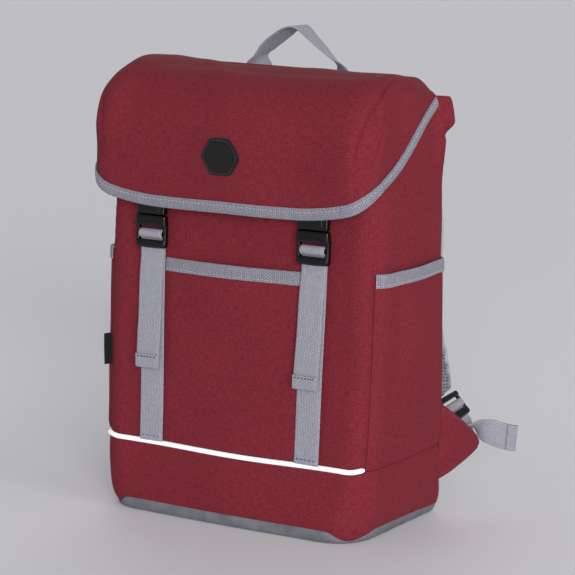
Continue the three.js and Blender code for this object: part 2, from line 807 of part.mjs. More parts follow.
// Ladder end of a buckle or adjuster: two rails, a lower bar, a round middle bar and a plate or top bar.
function ladder(halfWidth, length, front) {
  const { back, slotHalfWidth, lowerBar, lowerBarBack, windowTop, barAt, barOut, barRadius } = BUCKLE;
  const waist = halfWidth - 1;
  const outline = [
    [-halfWidth + 2, 0],
    [halfWidth - 2, 0],
    [halfWidth, lowerBar],
    [halfWidth, windowTop],
    [waist, length],
    [-waist, length],
    [-halfWidth, windowTop],
    [-halfWidth, lowerBar],
  ];
  const shape = roundedShape(outline, 1.5);
  const window = [
    [-slotHalfWidth, lowerBar],
    [-slotHalfWidth, windowTop],
    [slotHalfWidth, windowTop],
    [slotHalfWidth, lowerBar],
  ];
  shape.holes.push(roundedShape(window, 0.8));
  const depth = lowerBarBack - back;
  const relief = new THREE.BoxGeometry(2 * slotHalfWidth, 2 * lowerBar + 1, 2 * depth);
  relief.translate(0, 0, back);
  const bar = crossBar(waist - 0.5, barAt, barOut, barRadius);
  return fromSolid(toSolid(plate(shape, back, front)).subtract(toSolid(relief)).add(toSolid(bar)));
}

// Socket half: a fork with a round bar for the hanger.
function socket() {
  const { halfWidth, bottom, top, notch, barAt, barOut, barRadius } = SOCKET;
  const outline = [
    [-halfWidth, bottom],
    [halfWidth, bottom],
    [halfWidth, top],
    [BUCKLE.slotHalfWidth, top],
    [BUCKLE.slotHalfWidth, notch],
    [-BUCKLE.slotHalfWidth, notch],
    [-BUCKLE.slotHalfWidth, top],
    [-halfWidth, top],
  ];
  const body = plate(roundedShape(outline, 0.9), BUCKLE.back, BUCKLE.front);
  return fromSolid(toSolid(body).add(toSolid(crossBar(halfWidth - 0.8, barAt, barOut, barRadius))));
}

// Path of webbing through a ladder, as (length, out) pairs: up behind both bars, over the middle bar,
// down between the bars, and out behind the lower bar on top of itself.
function ladderLoop() {
  const { barAt, barOut, wrap, tuck, exit, doubled } = BUCKLE;
  const turn = steps([0, wrap, 10]).map((degrees) => {
    const angle = degToRad(degrees);
    return [barAt + barOut * Math.sin(angle), barOut * (1 - Math.cos(angle))];
  });
  return [...turn, tuck, [exit, doubled], [-1, doubled]];
}

function addClosingStraps() {
  for (const [side, sign] of [["left", -1], ["right", 1]]) {
    const x = sign * STRAP.x;
    const surface = (z, off) => {
      const share = Math.min((z - STRAP.start) / (BUCKLE.bottom - STRAP.start), 1);
      const across = sign * lerp(STRAP.footX, STRAP.x, share);
      return new THREE.Vector3(across, frontY(across, z) - off, z);
    };
    const origin = surface(BUCKLE.bottom, STRAP.lift);
    const up = surface(BUCKLE.bottom + BUCKLE.plugTop, STRAP.lift).sub(origin).normalize();
    const out = ACROSS.clone().cross(up);
    const frame = new THREE.Group();
    frame.matrix.makeBasis(ACROSS, up, out).setPosition(origin);
    frame.matrixAutoUpdate = false;
    part.add(frame);
    const plug = ladder(BUCKLE.halfWidth, BUCKLE.plugTop, BUCKLE.front);
    add("buckle_plug_" + side, "plastic", plug, frame);
    add("buckle_socket_" + side, "plastic", socket(), frame);

    const local = ([length, off]) =>
      origin.clone().addScaledVector(up, length).addScaledVector(out, off);
    const level = (point) => ({ point, across: ACROSS });
    const { start, fixedEnd, tailStart, tailEnd, hem, hemRadius, hemRise } = STRAP;
    const fixed = steps([start, fixedEnd, 7]).map((z) => surface(z, STRAP.lift));
    const exitOff = STRAP.lift + BUCKLE.doubled;
    const tail = steps([tailStart, tailEnd + 2, 5]).map((z) => {
      const hang = (tailStart - z) / (tailStart - tailEnd);
      return surface(z, exitOff + STRAP.tailOff * Math.sin((hang * Math.PI) / 2));
    });
    // The end is folded forward once and sewn down as a hem.
    const foldOff = exitOff + STRAP.tailOff + hemRise / 2;
    const fold = [
      surface(tailEnd, foldOff),
      surface(tailEnd - hemRadius, foldOff + hemRadius),
      surface(tailEnd, foldOff + 2 * hemRadius),
      surface(tailEnd + hem, foldOff + 2 * hemRadius + hemRise),
    ];
    const path = [...fixed, ...ladderLoop().map(local), ...tail, ...fold].map(level);
    add("front_strap_" + side, "webbing", band(path, WEB.width, WEB.thickness));

    const s = lidFrontAt(x);
    const onLid = (length) => {
      const z = local([length, 0]).z;
      const point = lidInside(s, lidShareAt(s, z), LID.wall + 3 * GAP + WEB.thickness / 2);
      return point.setX(x);
    };
    const wrap = steps([0, 180, 7]).map((degrees) => {
      const angle = degToRad(degrees);
      const { barAt, barOut } = SOCKET;
      return local([barAt - HANGER.wrap * Math.sin(angle), barOut + HANGER.wrap * Math.cos(angle)]);
    });
    const rear = local([HANGER.rear, SOCKET.barOut - HANGER.wrap]);
    const hanger = [onLid(HANGER.top), onLid(HANGER.next), ...wrap, rear].map(level);
    add("buckle_hanger_" + side, "webbing", band(hanger, WEB.width - 1, WEB.thickness));
  }
}

// Width direction turned by degrees from one axis to another.
function turned(from, to, degrees) {
  const angle = degToRad(degrees);
  return from.clone().multiplyScalar(Math.cos(angle)).addScaledVector(to, Math.sin(angle));
}

// Section of a padded strap: a rectangle with rounded edges, in (across, thick) pairs.
function padSection(width, thickness) {
  const section = {
    halfWidth: width / 2,
    front: -thickness / 2,
    back: thickness / 2,
    frontRadius: thickness * PAD_ROUND,
    backRadius: thickness * PAD_ROUND,
    frontSwell: 0,
    sideSwell: 0,
  };
  const places = [0, 1, 1.5, 2, 2.5, 3, 3.5, 4, 5, 5.5, 6, 6.5, 7, 7.5];
  return places.map((s) => outlinePoint(section, s));
}

function addCarryingStraps() {
  const back = new THREE.Vector3(0, 1, 0);
  const handle = HANDLE.map(({ x, z, turn }) => ({
    point: new THREE.Vector3(x, HANDLE_Y, z),
    across: turned(ACROSS, back, turn),
  }));
  add("top_handle", "webbing", band(handle, WEB.width, WEB.thickness));

  for (const [side, sign] of [["left", -1], ["right", 1]]) {
    const flip = (x, y, z) => new THREE.Vector3(sign * x, y, z);
    const axis = flip(1, 0, 0);
    const centres = SHOULDER.map(({ x, y, z }) => flip(x, y, z));
    const rings = SHOULDER.map(({ width, thickness, turn }, i) => {
      const ends = [centres[Math.max(i - 1, 0)], centres[Math.min(i + 1, centres.length - 1)]];
      const along = i === 0 ? back.clone() : ends[1].clone().sub(ends[0]).normalize();
      const across = turned(axis, back, turn).projectOnPlane(along).normalize().multiplyScalar(sign);
      const normal = along.clone().cross(across);
      return padSection(width, thickness).map(([u, v]) =>
        centres[i].clone().addScaledVector(across, u).addScaledVector(normal, v),
      );
    });
    add("shoulder_strap_" + side, "mesh", ringStack(rings));

    const rootPlace = SEAM.backRight - TAB.fromSeam;
    const tabRoot = sign > 0 ? rootPlace : mirrored(rootPlace);
    const tip = flip(TAB.tipX, TAB.tipY, TAB.tipZ);
    const tabSkin = (face) => (u, v) => {
      const height = lerp(TAB.bottom, TAB.top, v);
      const point = bodyPoint(tabRoot, height, GAP + TAB.thickness / 2);
      point.lerp(tip.clone().setZ(TAB.tipZ + (v - 0.5) * TAB.tipHeight), u);
      const bow = TAB.bow * Math.sin(Math.PI * u);
      return point.add(flip(bow + (face * TAB.thickness) / 2, (-face * TAB.thickness) / 4, 0));
    };
    const tabUs = steps(sign > 0 ? [0, 1, 5] : [1, 0, 5]);
    const tab = slab(tabUs, steps([0, 1, 3]), tabSkin(1), tabSkin(-1));
    add("strap_tab_" + side, "cloth", tab);

    // The adjuster hangs on the end of the padded strap and leans towards the tab's tip.
    const lockTop = flip(LOCK.x, LOCK.y, LOCK.z);
    const anchor = tip.clone().add(flip(-TAB.thickness, 0, 0));
    const lockUp = lockTop.clone().sub(anchor).normalize();
    const lockAcross = flip(LOCK.lean, 1, 0).projectOnPlane(lockUp).normalize().multiplyScalar(sign);
    const lockOut = lockAcross.clone().cross(lockUp);
    const lockFoot = lockTop.clone().addScaledVector(lockUp, -LOCK.length);
    const frame = new THREE.Group();
    frame.matrix.makeBasis(lockAcross, lockUp, lockOut).setPosition(lockFoot);
    frame.matrixAutoUpdate = false;
    part.add(frame);
    add("ladder_lock_" + side, "plastic", ladder(LOCK.halfWidth, LOCK.length, LOCK.front), frame);

    const local = ([length, off]) => ({
      point: lockFoot.clone().addScaledVector(lockUp, length).addScaledVector(lockOut, off),
      across: lockAcross,
    });
    const reach = lockFoot.distanceTo(anchor);
    const loop = [[-reach, 0], [-2, 0], [5, 0], ...ladderLoop()].map(local);
    const tail = TAIL.map(({ x, y, z, turn }) => ({
      point: flip(x, y, z),
      across: turned(lockAcross, UP, -sign * turn),
    }));
    add("strap_webbing_" + side, "webbing", band([...loop, ...tail], WEB.width, WEB.thickness));
  }
}

addShell();
addLid();
addPockets();
addTrim();
addClosingStraps();
addCarryingStraps();

export default part;
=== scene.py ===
"""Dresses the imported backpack: woven cloth, tape, webbing, padding, buckles, stitching and a studio stage.

Lengths in the shape functions are millimetres, and make_piece turns them to metres.
"""

import bmesh
import bpy
import numpy as np
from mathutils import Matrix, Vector


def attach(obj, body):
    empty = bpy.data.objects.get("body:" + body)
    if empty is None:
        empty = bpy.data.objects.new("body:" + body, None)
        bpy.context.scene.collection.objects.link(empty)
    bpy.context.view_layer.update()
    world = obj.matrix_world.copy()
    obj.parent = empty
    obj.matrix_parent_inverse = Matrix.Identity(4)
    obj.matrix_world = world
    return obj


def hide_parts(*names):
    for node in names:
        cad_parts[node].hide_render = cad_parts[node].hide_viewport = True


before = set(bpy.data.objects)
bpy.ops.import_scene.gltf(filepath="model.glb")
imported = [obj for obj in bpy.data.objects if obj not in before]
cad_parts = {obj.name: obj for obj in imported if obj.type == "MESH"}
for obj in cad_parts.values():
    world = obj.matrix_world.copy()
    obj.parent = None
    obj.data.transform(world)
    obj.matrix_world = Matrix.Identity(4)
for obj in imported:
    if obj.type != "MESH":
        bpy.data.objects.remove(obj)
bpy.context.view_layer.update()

bl_info = {
    "name": "Hooded backpack",
    "version": (1, 0, 0),
    "blender": (4, 5, 0),
    "location": "View3D > Sidebar > Backpack",
    "description": "Builds a soft hooded backpack round its packed frame",
    "category": "Object",
}

MM = 0.001
BODY_NAME = "root"
UV_NAME = "surface"
EDGING = "edging"
WAVE_TURN = 2 * np.pi / 20  # a wave texture of this scale repeats once in each unit of length
HANDS = (("left", -1), ("right", 1))
UP = np.array([0, 0, 1.0])
SOFT_EDGE, MOULDED_EDGE = 50, 60  # degrees above which an edge of cloth or of plastic is shaded sharp

# Short name of each finish: its material, and the record's slot for a piece that is mainly made of it.
FINISHES = {
    "cloth": ("wine_red_woven_polyester", "red_cloth"),
    "webbing": ("grey_polyester_webbing", "grey_webbing"),
    "tape": ("grey_binding_tape", "grey_webbing"),
    "base": ("dark_grey_coated_polyester", "grey_base"),
    "mesh": ("grey_spacer_mesh", "grey_mesh"),
    "plastic": ("black_moulded_acetal", "black_plastic"),
    "pile": ("black_loop_pile", "black_patch"),
    "reflector": ("white_glass_bead_tape", "reflector"),
    "thread": ("grey_sewing_thread", "grey_webbing"),
    "dark_thread": ("dark_sewing_thread", "grey_webbing"),
    "red_thread": ("wine_red_sewing_thread", "red_cloth"),
}

# The bag's outline by height: z, half width, middle, front, back, front and back corner radius,
# swell of the front and of the sides.
BODY_ROWS = [
    (0, 135, -2.8, -75.5, 77.5, 38, 14, 1.5, 0),
    (12, 140.3, -2.8, -75.5, 77.5, 35, 14, 2, 1),
    (36, 143, -2.8, -72.5, 77, 30, 20, 4, 2),
    (66, 144.3, -2.3, -69.5, 77, 27, 22, 5, 2),
    (140, 145, -1, -65, 77, 24, 25, 4, 2),
    (231, 145, -0.5, -59.5, 77, 23, 28, 3, 2),
    (290, 144.5, 0, -55.5, 77, 23, 27, 3, 1),
    (345, 141, 0, -52, 76.5, 24, 26, 2, 0.5),
    (372, 139.5, 0, -50, 75, 26, 26, 0, 0),
    (384, 138, 0, -49, 69, 26, 24, 0, 0),
    (390, 135, 0, -48.5, 60, 26, 24, 0, 0),
    (395, 132, 0, -48, 44.8, 26, 24, 0, 0),
    (399, 130, 0, -47, 32, 26, 24, 0, 0),
]
# Places on the outline, which is walked in stretches of one unit: the middle of the front, the number of
# stretches, and the upright seams.
MIDDLE = 2.5
RUNS = 8
SEAM_LEFT, SEAM_RIGHT, SEAM_BACK = 1.45, 3.55, 5.6
SEAM_BACK_LEFT = 2 * MIDDLE - SEAM_BACK + RUNS
CORNER_RUN = 37  # millimetres along the stretch at a front corner
TUCK_FADE = (4.9, 5.3)  # the tuck beside the lower seam dies out here
PIPING_Z, PIPING_RADIUS, PIPING_PROUD = 66, 2.3, 0.6
CLOTH = 1.6  # thickness of a wall
GAP = 0.3  # clearance between pieces that lie on each other
# Rims of the walls: the front, each side at its front and rear, the back where it is lowest, and how far a
# side's rim is turned in.
FRONT_RIM, SIDE_RIM, BACK_RIM, RIM_LIP = 366, (372, 384), 397, 9
# Heights at which the rumples of the front, of the sides and of the back have died out, and the back's foot.
FRONT_CALM, SIDE_CALM, BACK_CALM, BACK_FOOT = 380, 400, 420, 5
# Collar at the rear top corners: its place and reach on the outline, heights of its crease, and how far it
# stands out below and above the crease.
COLLAR_PLACE, COLLAR_REACH, COLLAR_CREASE, COLLAR_STAND = 5.35, 0.4, (340, 350), (7, 8)
# Height of the base's seam at the front, at a front corner, along a side and at the rear, and its thickness.
BASE_FRONT, BASE_CORNER, BASE_SIDE, BASE_REAR, BASE_THICK = 11, 2.5, 8.5, 4.5, 2.6

# Outlines of the lid's skirt and of its flat top, each as a row of the bag's outline without its height.
LID_OUTER = (145.5, 0, -79, 44.5, 28, 0, 4, 1)
LID_FLAT = (123.5, 0, -29, 44.5, 18, 0, 0, 0)
# Depth of the lid's rear seam and front, its flare to the front, its wall and half its rear seam's length.
LID_REAR, LID_FRONT, LID_FLARE, LID_WALL, LID_SPINE = 44.5, -79, 0.045, 2, 100
# Top of the lid: its peak, the fall of its dome by depth squared, its tilt, and how far each end is drawn up.
LID_PEAK, LID_PEAK_Y, LID_DOME, LID_TILT = 409.6, -5, 0.005, 0.02
LID_END, LID_RISE_LEFT, LID_RISE_RIGHT = (80, 118), 2.8, 1.5
# Height of the lid's round shoulder at the front and at the sides, and how far its free edge is drawn in.
LID_DROP_FRONT, LID_DROP_SIDE, LID_TUCK = 64, 14, 3.5
# Rolled seam on the lid's top: its ends, its distance from the rear seam, its radius, and half the lid there.
RIDGE_LEFT, RIDGE_RIGHT, RIDGE_IN, RIDGE_RADIUS, RIDGE_SPAN = -120, 72, 12.5, 2.1, 105.85
# Patch on the lid's front: its middle, reach of its corners, the reach that rounds them, and its thickness.
PATCH_X, PATCH_Z, PATCH_REACH, PATCH_CUT, PATCH_THICK = 1, 336, 21.5, 20.6, 1.5
# Shares down the lid at which its flat top and its round shoulder end.
TOP_SHARE, ROUND_SHARE = 0.22, 0.62
# Free edge of the lid: place on the outline, counted from the middle of the front, and height.
LID_EDGE_ROWS = [
    (0, 286.8),
    (0.25, 286.5),
    (0.35, 287.2),
    (0.45, 290),
    (0.5, 292.2),
    (0.6, 293.3),
    (0.8, 296.5),
    (1, 301.4),
    (1.25, 308.2),
    (1.5, 314.8),
    (1.75, 327.3),
    (2, 345.5),
    (2.25, 363.5),
    (2.5, 378),
]
# Sewn line of the lid's gusset and the crease below it: share down the lid and place on its outline.
GUSSET_ROWS = [
    (0.34, 4.2),
    (0.365, 4.05),
    (0.405, 3.78),
    (0.45, 3.55),
    (0.525, 3.34),
    (0.6, 3.23),
    (0.76, 3.24),
    (0.95, 3.27),
]
CREASE_ROWS = [(0.5, 4), (0.54, 3.92), (0.6, 3.78), (0.68, 3.66), (0.79, 3.63), (0.9, 3.63)]

# Pockets: top edge, half width of the front one and of its tape, and the side ones' rear end on the outline.
FRONT_POCKET_TOP, FRONT_POCKET_HALF, FRONT_TAPE_HALF = 236.5, 80, 72.6
SIDE_POCKET_TOP, SIDE_POCKET_END = 239, 5.3
# Label: its lower and upper end, its reach from the seam and the radius of its fold.
LABEL_LOW, LABEL_HIGH, LABEL_REACH, LABEL_FOLD = 131, 160, 7.3, 0.75

# Closing straps: distance from the middle at the buckle and at the foot, distance off the bag, height of the
# foot, and height where the webbing enters the buckle.
STRAP_X, STRAP_FOOT_X, STRAP_LIFT, STRAP_START, STRAP_TURN = 86.2, 83.5, 3.8, 69.2, 241.5
# Closing buckle: height of its lower end; its middle bar, measured up and out from there; length and half
# width of its plug, half width of its window, and how far out the webbing lies on itself.
BUCKLE_Z = 245.5
BAR_AT, BAR_OUT, BAR_RADIUS = 12.75, 3.5, 2.2
PLUG_TOP, PLUG_HALF, SLOT_HALF, DOUBLED = 30, 16.5, 13, 2.05
# Loose tail of a closing strap: height of its ends, how far its lower end stands off, and length of its hem.
TAIL_START, TAIL_END, TAIL_OFF, HEM = 237.5, 138, 4.5, 11
# Bar of the buckle's socket, measured up and out as above, and radius of the hanger's turn round it.
SOCKET_BAR_AT, SOCKET_BAR_OUT, SOCKET_BAR_RADIUS, HANGER_TURN = 49, 4.9, 1.7, 2.6

# Carrying handle behind the lid's rear seam: x, z and the turn of the webbing's width from X to Y.
HANDLE_Y = 62
HANDLE_ROWS = [
    (-54, 389.1, 0),
    (-54, 398, 22),
    (-54, 405, 60),
    (-52.5, 411, 90),
    (-45, 418.9, 80),
    (-36.4, 426, 72),
    (-26.5, 432.8, 72),
    (-17.6, 438.5, 80),
    (-10.5, 440.3, 86),
    (-5, 438.5, 92),
    (4, 431, 100),
    (13.7, 423, 106),
    (23.5, 414.7, 116),
    (31, 408, 126),
    (35, 400, 156),
    (35, 389.1, 180),
]
# Right shoulder strap: x, y, z, width, thickness and turn of its sections from the back down.
SHOULDER_ROWS = [
    (44.5, 74.8, 362, 54, 9, 0),
    (45.5, 86, 363, 56, 11, 0),
    (49.5, 97, 358, 58, 12, 2),
    (56.5, 106, 344, 60, 12, 4),
    (68.5, 113, 318, 62, 12, 6),
    (79.5, 116, 284, 62, 12, 8),
    (84.5, 115, 244, 62, 12, 10),
    (85.5, 113, 204, 60, 12, 14),
    (88.5, 112, 164, 56, 12, 20),
    (95.5, 115, 128, 48, 11, 32),
    (104.5, 121, 103, 38, 9, 50),
    (110, 124, 94, 32, 7, 62),
]
# Padding that is sewn down and so can't swell: depth of the back pad's inner face, height and depth of a
# shoulder strap's root, and height of its end.
PAD_SEWN_Y, ROOT_SEWN_Z, ROOT_SEWN_Y, END_SEWN_Z = 79.5, 352, 83, 97
STRAP_SLIM = 0.82  # thickness of a shoulder strap before it swells, as a share of the final one
# Outline of the back pad across and up, as for the bag's own outline, and its rings from the middle of its
# inner face round to the middle of its outer face: share of the outline, inset and depth.
PAD_OUTLINE, PAD_MIDDLE = (104, 0, 42, 338, 22, 26, 0, -4), 190
PAD_RINGS = [
    (0, 0, 77.8),
    (0.5, 0, 77.8),
    (0.9, 0, 77.8),
    (1, 0, 78.2),
    (1, 0, 81.5),
    (1, 1.2, 83.6),
    (1, 3.4, 84.8),
    (0.9, 3.4, 85),
    (0.5, 3.4, 85),
    (0, 3.4, 85),
]
PAD_CHANNELS = (116, 190, 264)  # heights of the level sewn channels
PAD_EDGING = 50  # the back pad's bound edge is measured from this far inside it
# Right adjuster: middle of its top, length, half width and lean.
LOCK_TOP, LOCK_LENGTH, LOCK_HALF, LOCK_LEAN = (111.2, 124.8, 93.3), 25, 15.5, 0.15
# Right tab: its tip, the ends of its root, height at the tip, thickness, distance of its root from the rear
# seam on the outline, and width when flat.
TAB_TIP, TAB_TOP, TAB_BOTTOM, TAB_TIP_HEIGHT, TAB_THICK = (146.5, 129, 55), 106, 32, 9, 3
TAB_ROOT, TAB_WIDE = 0.42, 58
# Loose end of the right shoulder webbing: x, y, z and how far its width stands up.
TAIL_ROWS = [
    (134.5, 127.5, 69.8, 6),
    (140, 128.6, 69.2, 26),
    (146.5, 131, 68.2, 54),
    (153.5, 134.6, 65.2, 76),
    (161, 139, 62, 87),
    (169, 143.4, 59.4, 90),
    (177.5, 147, 58.5, 90),
]


def linear(code):
    """Turns an sRGB hex colour into linear red, green, blue and alpha."""
    channels = np.array([int(code[i : i + 2], 16) for i in (0, 2, 4)]) / 255
    low, high = channels / 12.92, ((channels + 0.055) / 1.055) ** 2.4
    return (*np.where(channels <= 0.04045, low, high).tolist(), 1.0)


def mix(a, b, share):
    """Straight line from a to b."""
    return a + (b - a) * share


def step(x, low, high):
    """Smooth step: 0 below low, 1 above high, and 3t squared less 2t cubed between."""
    t = np.clip((x - low) / (high - low), 0, 1)
    return t * t * (3 - 2 * t)


def bump(x, centre, reach):
    """Bell of height 1 at centre that falls off as a Gaussian of that reach."""
    return np.exp(-(((x - centre) / reach) ** 2))


def stretches(*parts):
    """Evenly spaced values over several stretches of (from, to, count), with their joins shared."""
    return np.concatenate([[parts[0][0]], *[np.linspace(a, b, n + 1)[1:] for a, b, n in parts]])


def mirrored(s):
    """Places on the outline that mirror places on its other half, in rising order."""
    return (2 * MIDDLE - s)[::-1]


def run_length(points):
    """Length along a row of points from its first point to each."""
    return np.concatenate([[0], np.cumsum(np.linalg.norm(np.diff(points, axis=0), axis=1))])


def smooth_table(rows):
    """Cubic through rows of (place, values): each slope is the mean of the slopes on both sides."""
    table = np.array(rows, float)
    places, values = table[:, 0], table[:, 1:]
    secant = np.diff(values, axis=0) / np.diff(places)[:, None]
    slope = np.vstack([secant[:1], (secant[1:] + secant[:-1]) / 2, secant[-1:]])

    def read(at):
        """Values at a place, kept within the table: the cubic of the place's share of its interval."""
        at = np.clip(np.asarray(at, float), places[0], places[-1])
        i = np.clip(np.searchsorted(places, at, side="right") - 1, 0, len(places) - 2)
        length = (places[i + 1] - places[i])[..., None]
        p = ((at - places[i]) / length[..., 0])[..., None]
        start = (2 * p**3 - 3 * p**2 + 1) * values[i] + (p**3 - 2 * p**2 + p) * length * slope[i]
        end = (3 * p**2 - 2 * p**3) * values[i + 1] + (p**3 - p**2) * length * slope[i + 1]
        return np.moveaxis(start + end, -1, 0)

    return read


def spline(rows, count):
    """Rows of numbers, the first three a point, read at even steps of the length between points."""
    table = np.array(rows, float)
    places = run_length(table[:, :3])
    return smooth_table(np.column_stack([places, table]))(np.linspace(0, places[-1], count)).T


def rumple(u, v, length, seed, waves=10):
    """Sum of plane cosines with random direction and phase and wavelengths near length, within about 1."""
    rng = np.random.default_rng(seed)
    angle, phase = rng.uniform(0, np.pi, waves), rng.uniform(0, 2 * np.pi, waves)
    size = length * rng.uniform(0.7, 1.6, waves)
    u, v = np.broadcast_arrays(np.asarray(u, float)[..., None], np.asarray(v, float)[..., None])
    field = np.cos(2 * np.pi * (u * np.cos(angle) + v * np.sin(angle)) / size + phase)
    return field.sum(-1) / np.sqrt(2 * waves)


def outline(section, s, inset=0.0):
    """Rounded rectangle walked in eight stretches of one unit: left side to the front, front left
    corner, front, front right corner, right side, back right corner, back, back left corner. The
    front and sides swell by sine squared, and inset moves every point inwards."""
    half, middle, front, back, front_r, back_r, front_swell, side_swell = section
    s = np.mod(s, RUNS)
    run = np.floor(s).astype(int)
    share = s - run
    swell = np.sin(np.pi * share) ** 2
    cos, sin = np.cos(share * np.pi / 2), np.sin(share * np.pi / 2)
    wide, rear, front_y, back_y = half - front_r, half - back_r, front + front_r, back - back_r
    fr, br = front_r - inset, back_r - inset
    side_x, face_y = half - inset + side_swell * swell, front + inset - front_swell * swell
    xs = [
        -side_x,
        -wide - fr * cos,
        mix(-wide, wide, share),
        wide + fr * sin,
        side_x,
        rear + br * cos,
        mix(rear, -rear, share),
        -rear - br * sin,
    ]
    ys = [
        mix(back_y, front_y, share),
        front_y - fr * sin,
        face_y,
        front_y - fr * cos,
        mix(front_y, back_y, share),
        back_y + br * sin,
        back - inset + 0 * share,
        back_y + br * cos,
    ]
    shape = np.broadcast(run, *xs, *ys[:3]).shape
    run = np.broadcast_to(run, shape)
    pick = lambda options: np.choose(run, [np.broadcast_to(o, shape) for o in options])
    return pick(xs) + middle, pick(ys)


body_section = smooth_table(BODY_ROWS)
lid_edge = smooth_table(LID_EDGE_ROWS)
gusset_seam = smooth_table(GUSSET_ROWS)
gusset_crease = smooth_table(CREASE_ROWS)


def right_hand(s):
    """Place on the right half of the outline that matches a place on either half."""
    return np.where(s > MIDDLE + RUNS / 2, 2 * MIDDLE - s + RUNS, np.maximum(s, 2 * MIDDLE - s))


def collar_crease(place):
    """Height of the crease that the collar folds over, which climbs to the rear."""
    return mix(*COLLAR_CREASE, step(place, 4.5, COLLAR_PLACE))


def collar(s, z):
    """How far the collar stands out at the rear top corners: a cosine squared bell along the outline,
    times a slow swell below a crease that climbs to the rear and a quick step above it."""
    place = right_hand(s)
    near = np.clip(np.abs(place - COLLAR_PLACE) / COLLAR_REACH, 0, 1)
    crease = collar_crease(place)
    swell, fold = COLLAR_STAND
    stand = swell * step(z, crease - 48, crease + 4) + fold * step(z, crease, crease + 11)
    return stand * np.cos(near * np.pi / 2) ** 2


def body(s, z, out=0.0):
    """Point on the bag's outer face at place s and height z: the outline of that height, moved out."""
    s, z, out = np.broadcast_arrays(np.asarray(s, float), np.asarray(z, float), np.asarray(out, float))
    x, y = outline(body_section(z), s, -out - collar(s, z))
    return np.stack([x, y, z], -1)


def outward(s, z):
    """Level unit direction out of the bag."""
    return unit(body(s, z, 1.0) - body(s, z, 0.0))


def front_place(x, z):
    """Place on the outline where the front reaches a distance across."""
    half, middle, _, _, front_r, _, _, _ = body_section(z)
    return MIDDLE + (x - middle) / (2 * (half - front_r))


def base_seam(s):
    """Height of the seam between base and walls: high along each side, low at the front corners."""
    place = right_hand(s)
    share = place - np.floor(place)
    front = BASE_FRONT + 0 * share
    corner = mix(BASE_FRONT, BASE_CORNER, np.sin(np.pi * share) ** 2)
    side = mix(BASE_FRONT, BASE_SIDE, step(share, 0.5, 1))
    rear = mix(BASE_SIDE, BASE_REAR, step(share, 0, 0.6))
    return np.select([place < 3, place < 4, place < 5, place < 6], [front, corner, side, rear], BASE_REAR)


def lid_top(x, y):
    """Height of the lid's top: a shallow dome across its depth, a little lower to the right, drawn up
    at both ends."""
    ends = LID_RISE_LEFT * step(-x, *LID_END) + LID_RISE_RIGHT * step(x, *LID_END)
    return LID_PEAK - LID_DOME * (y - LID_PEAK_Y) ** 2 - LID_TILT * x + ends


def lid_outline(s, inset=0.0):
    """Outline of the lid, which flares towards its front."""
    x, y = outline(LID_OUTER, s, inset)
    return x * (1 + LID_FLARE * (LID_REAR - y) / (LID_REAR - LID_FRONT)), y


def lid(s, v):
    """Point on the lid: v runs from its rear seam over the flat top, round a quarter ellipse and down
    the skirt to the free edge; s walks the outline from the left rear to the right rear."""
    s, v = np.broadcast_arrays(np.asarray(s, float), np.asarray(v, float))
    facing = step(np.abs(s - MIDDLE), 1.2, 2.2)
    drop = mix(LID_DROP_FRONT, LID_DROP_SIDE, facing)
    x, y = lid_outline(s)
    flat_x, flat_y = outline(LID_FLAT, s)
    shoulder = lid_top(flat_x, flat_y)
    share = np.clip(v / TOP_SHARE, 0, 1)
    px = mix(mix(-LID_SPINE, LID_SPINE, s / (2 * MIDDLE)), flat_x, share)
    py = mix(LID_REAR, flat_y, share)
    top = np.stack([px, py, lid_top(px, py)], -1)
    angle = np.clip((v - TOP_SHARE) / (ROUND_SHARE - TOP_SHARE), 0, 1) * np.pi / 2
    reach = np.sin(angle)
    bend_z = shoulder - drop * (1 - np.cos(angle))
    bend = np.stack([mix(flat_x, x, reach), mix(flat_y, y, reach), bend_z], -1)
    fall = np.clip((v - ROUND_SHARE) / (1 - ROUND_SHARE), 0, 1)
    flared = np.maximum(facing, step(MIDDLE - s, 0.5, 1.1))
    skirt_x, skirt_y = lid_outline(s, LID_TUCK * (1 - flared) * fall**1.5)
    edge = lid_edge(np.abs(s - MIDDLE))[0]
    skirt = np.stack([skirt_x, skirt_y, mix(shoulder - drop, edge, fall)], -1)
    v = v[..., None]
    return np.where(v <= TOP_SHARE, top, np.where(v <= ROUND_SHARE, bend, skirt))


def unit(vectors):
    """Vectors scaled to length 1."""
    return vectors / np.maximum(np.linalg.norm(vectors, axis=-1, keepdims=True), 1e-12)


def grid_normals(points):
    """Unit normals of a grid of points: the cross product of its two directions."""
    return unit(np.cross(np.gradient(points, axis=1), np.gradient(points, axis=0)))


def lid_normal(s, v):
    """Unit normal of the lid from nearby points on it, turned upright at the rear seam, where rows meet."""
    near = 2e-3
    along = lid(np.minimum(s + near, 2 * MIDDLE), v) - lid(np.maximum(s - near, 0), v)
    down = lid(s, np.minimum(v + near, 1)) - lid(s, np.maximum(v - near, 0))
    level = step(v, 0.02, 0.06)[..., None]
    return unit(mix(UP, unit(np.cross(down, along)), level))


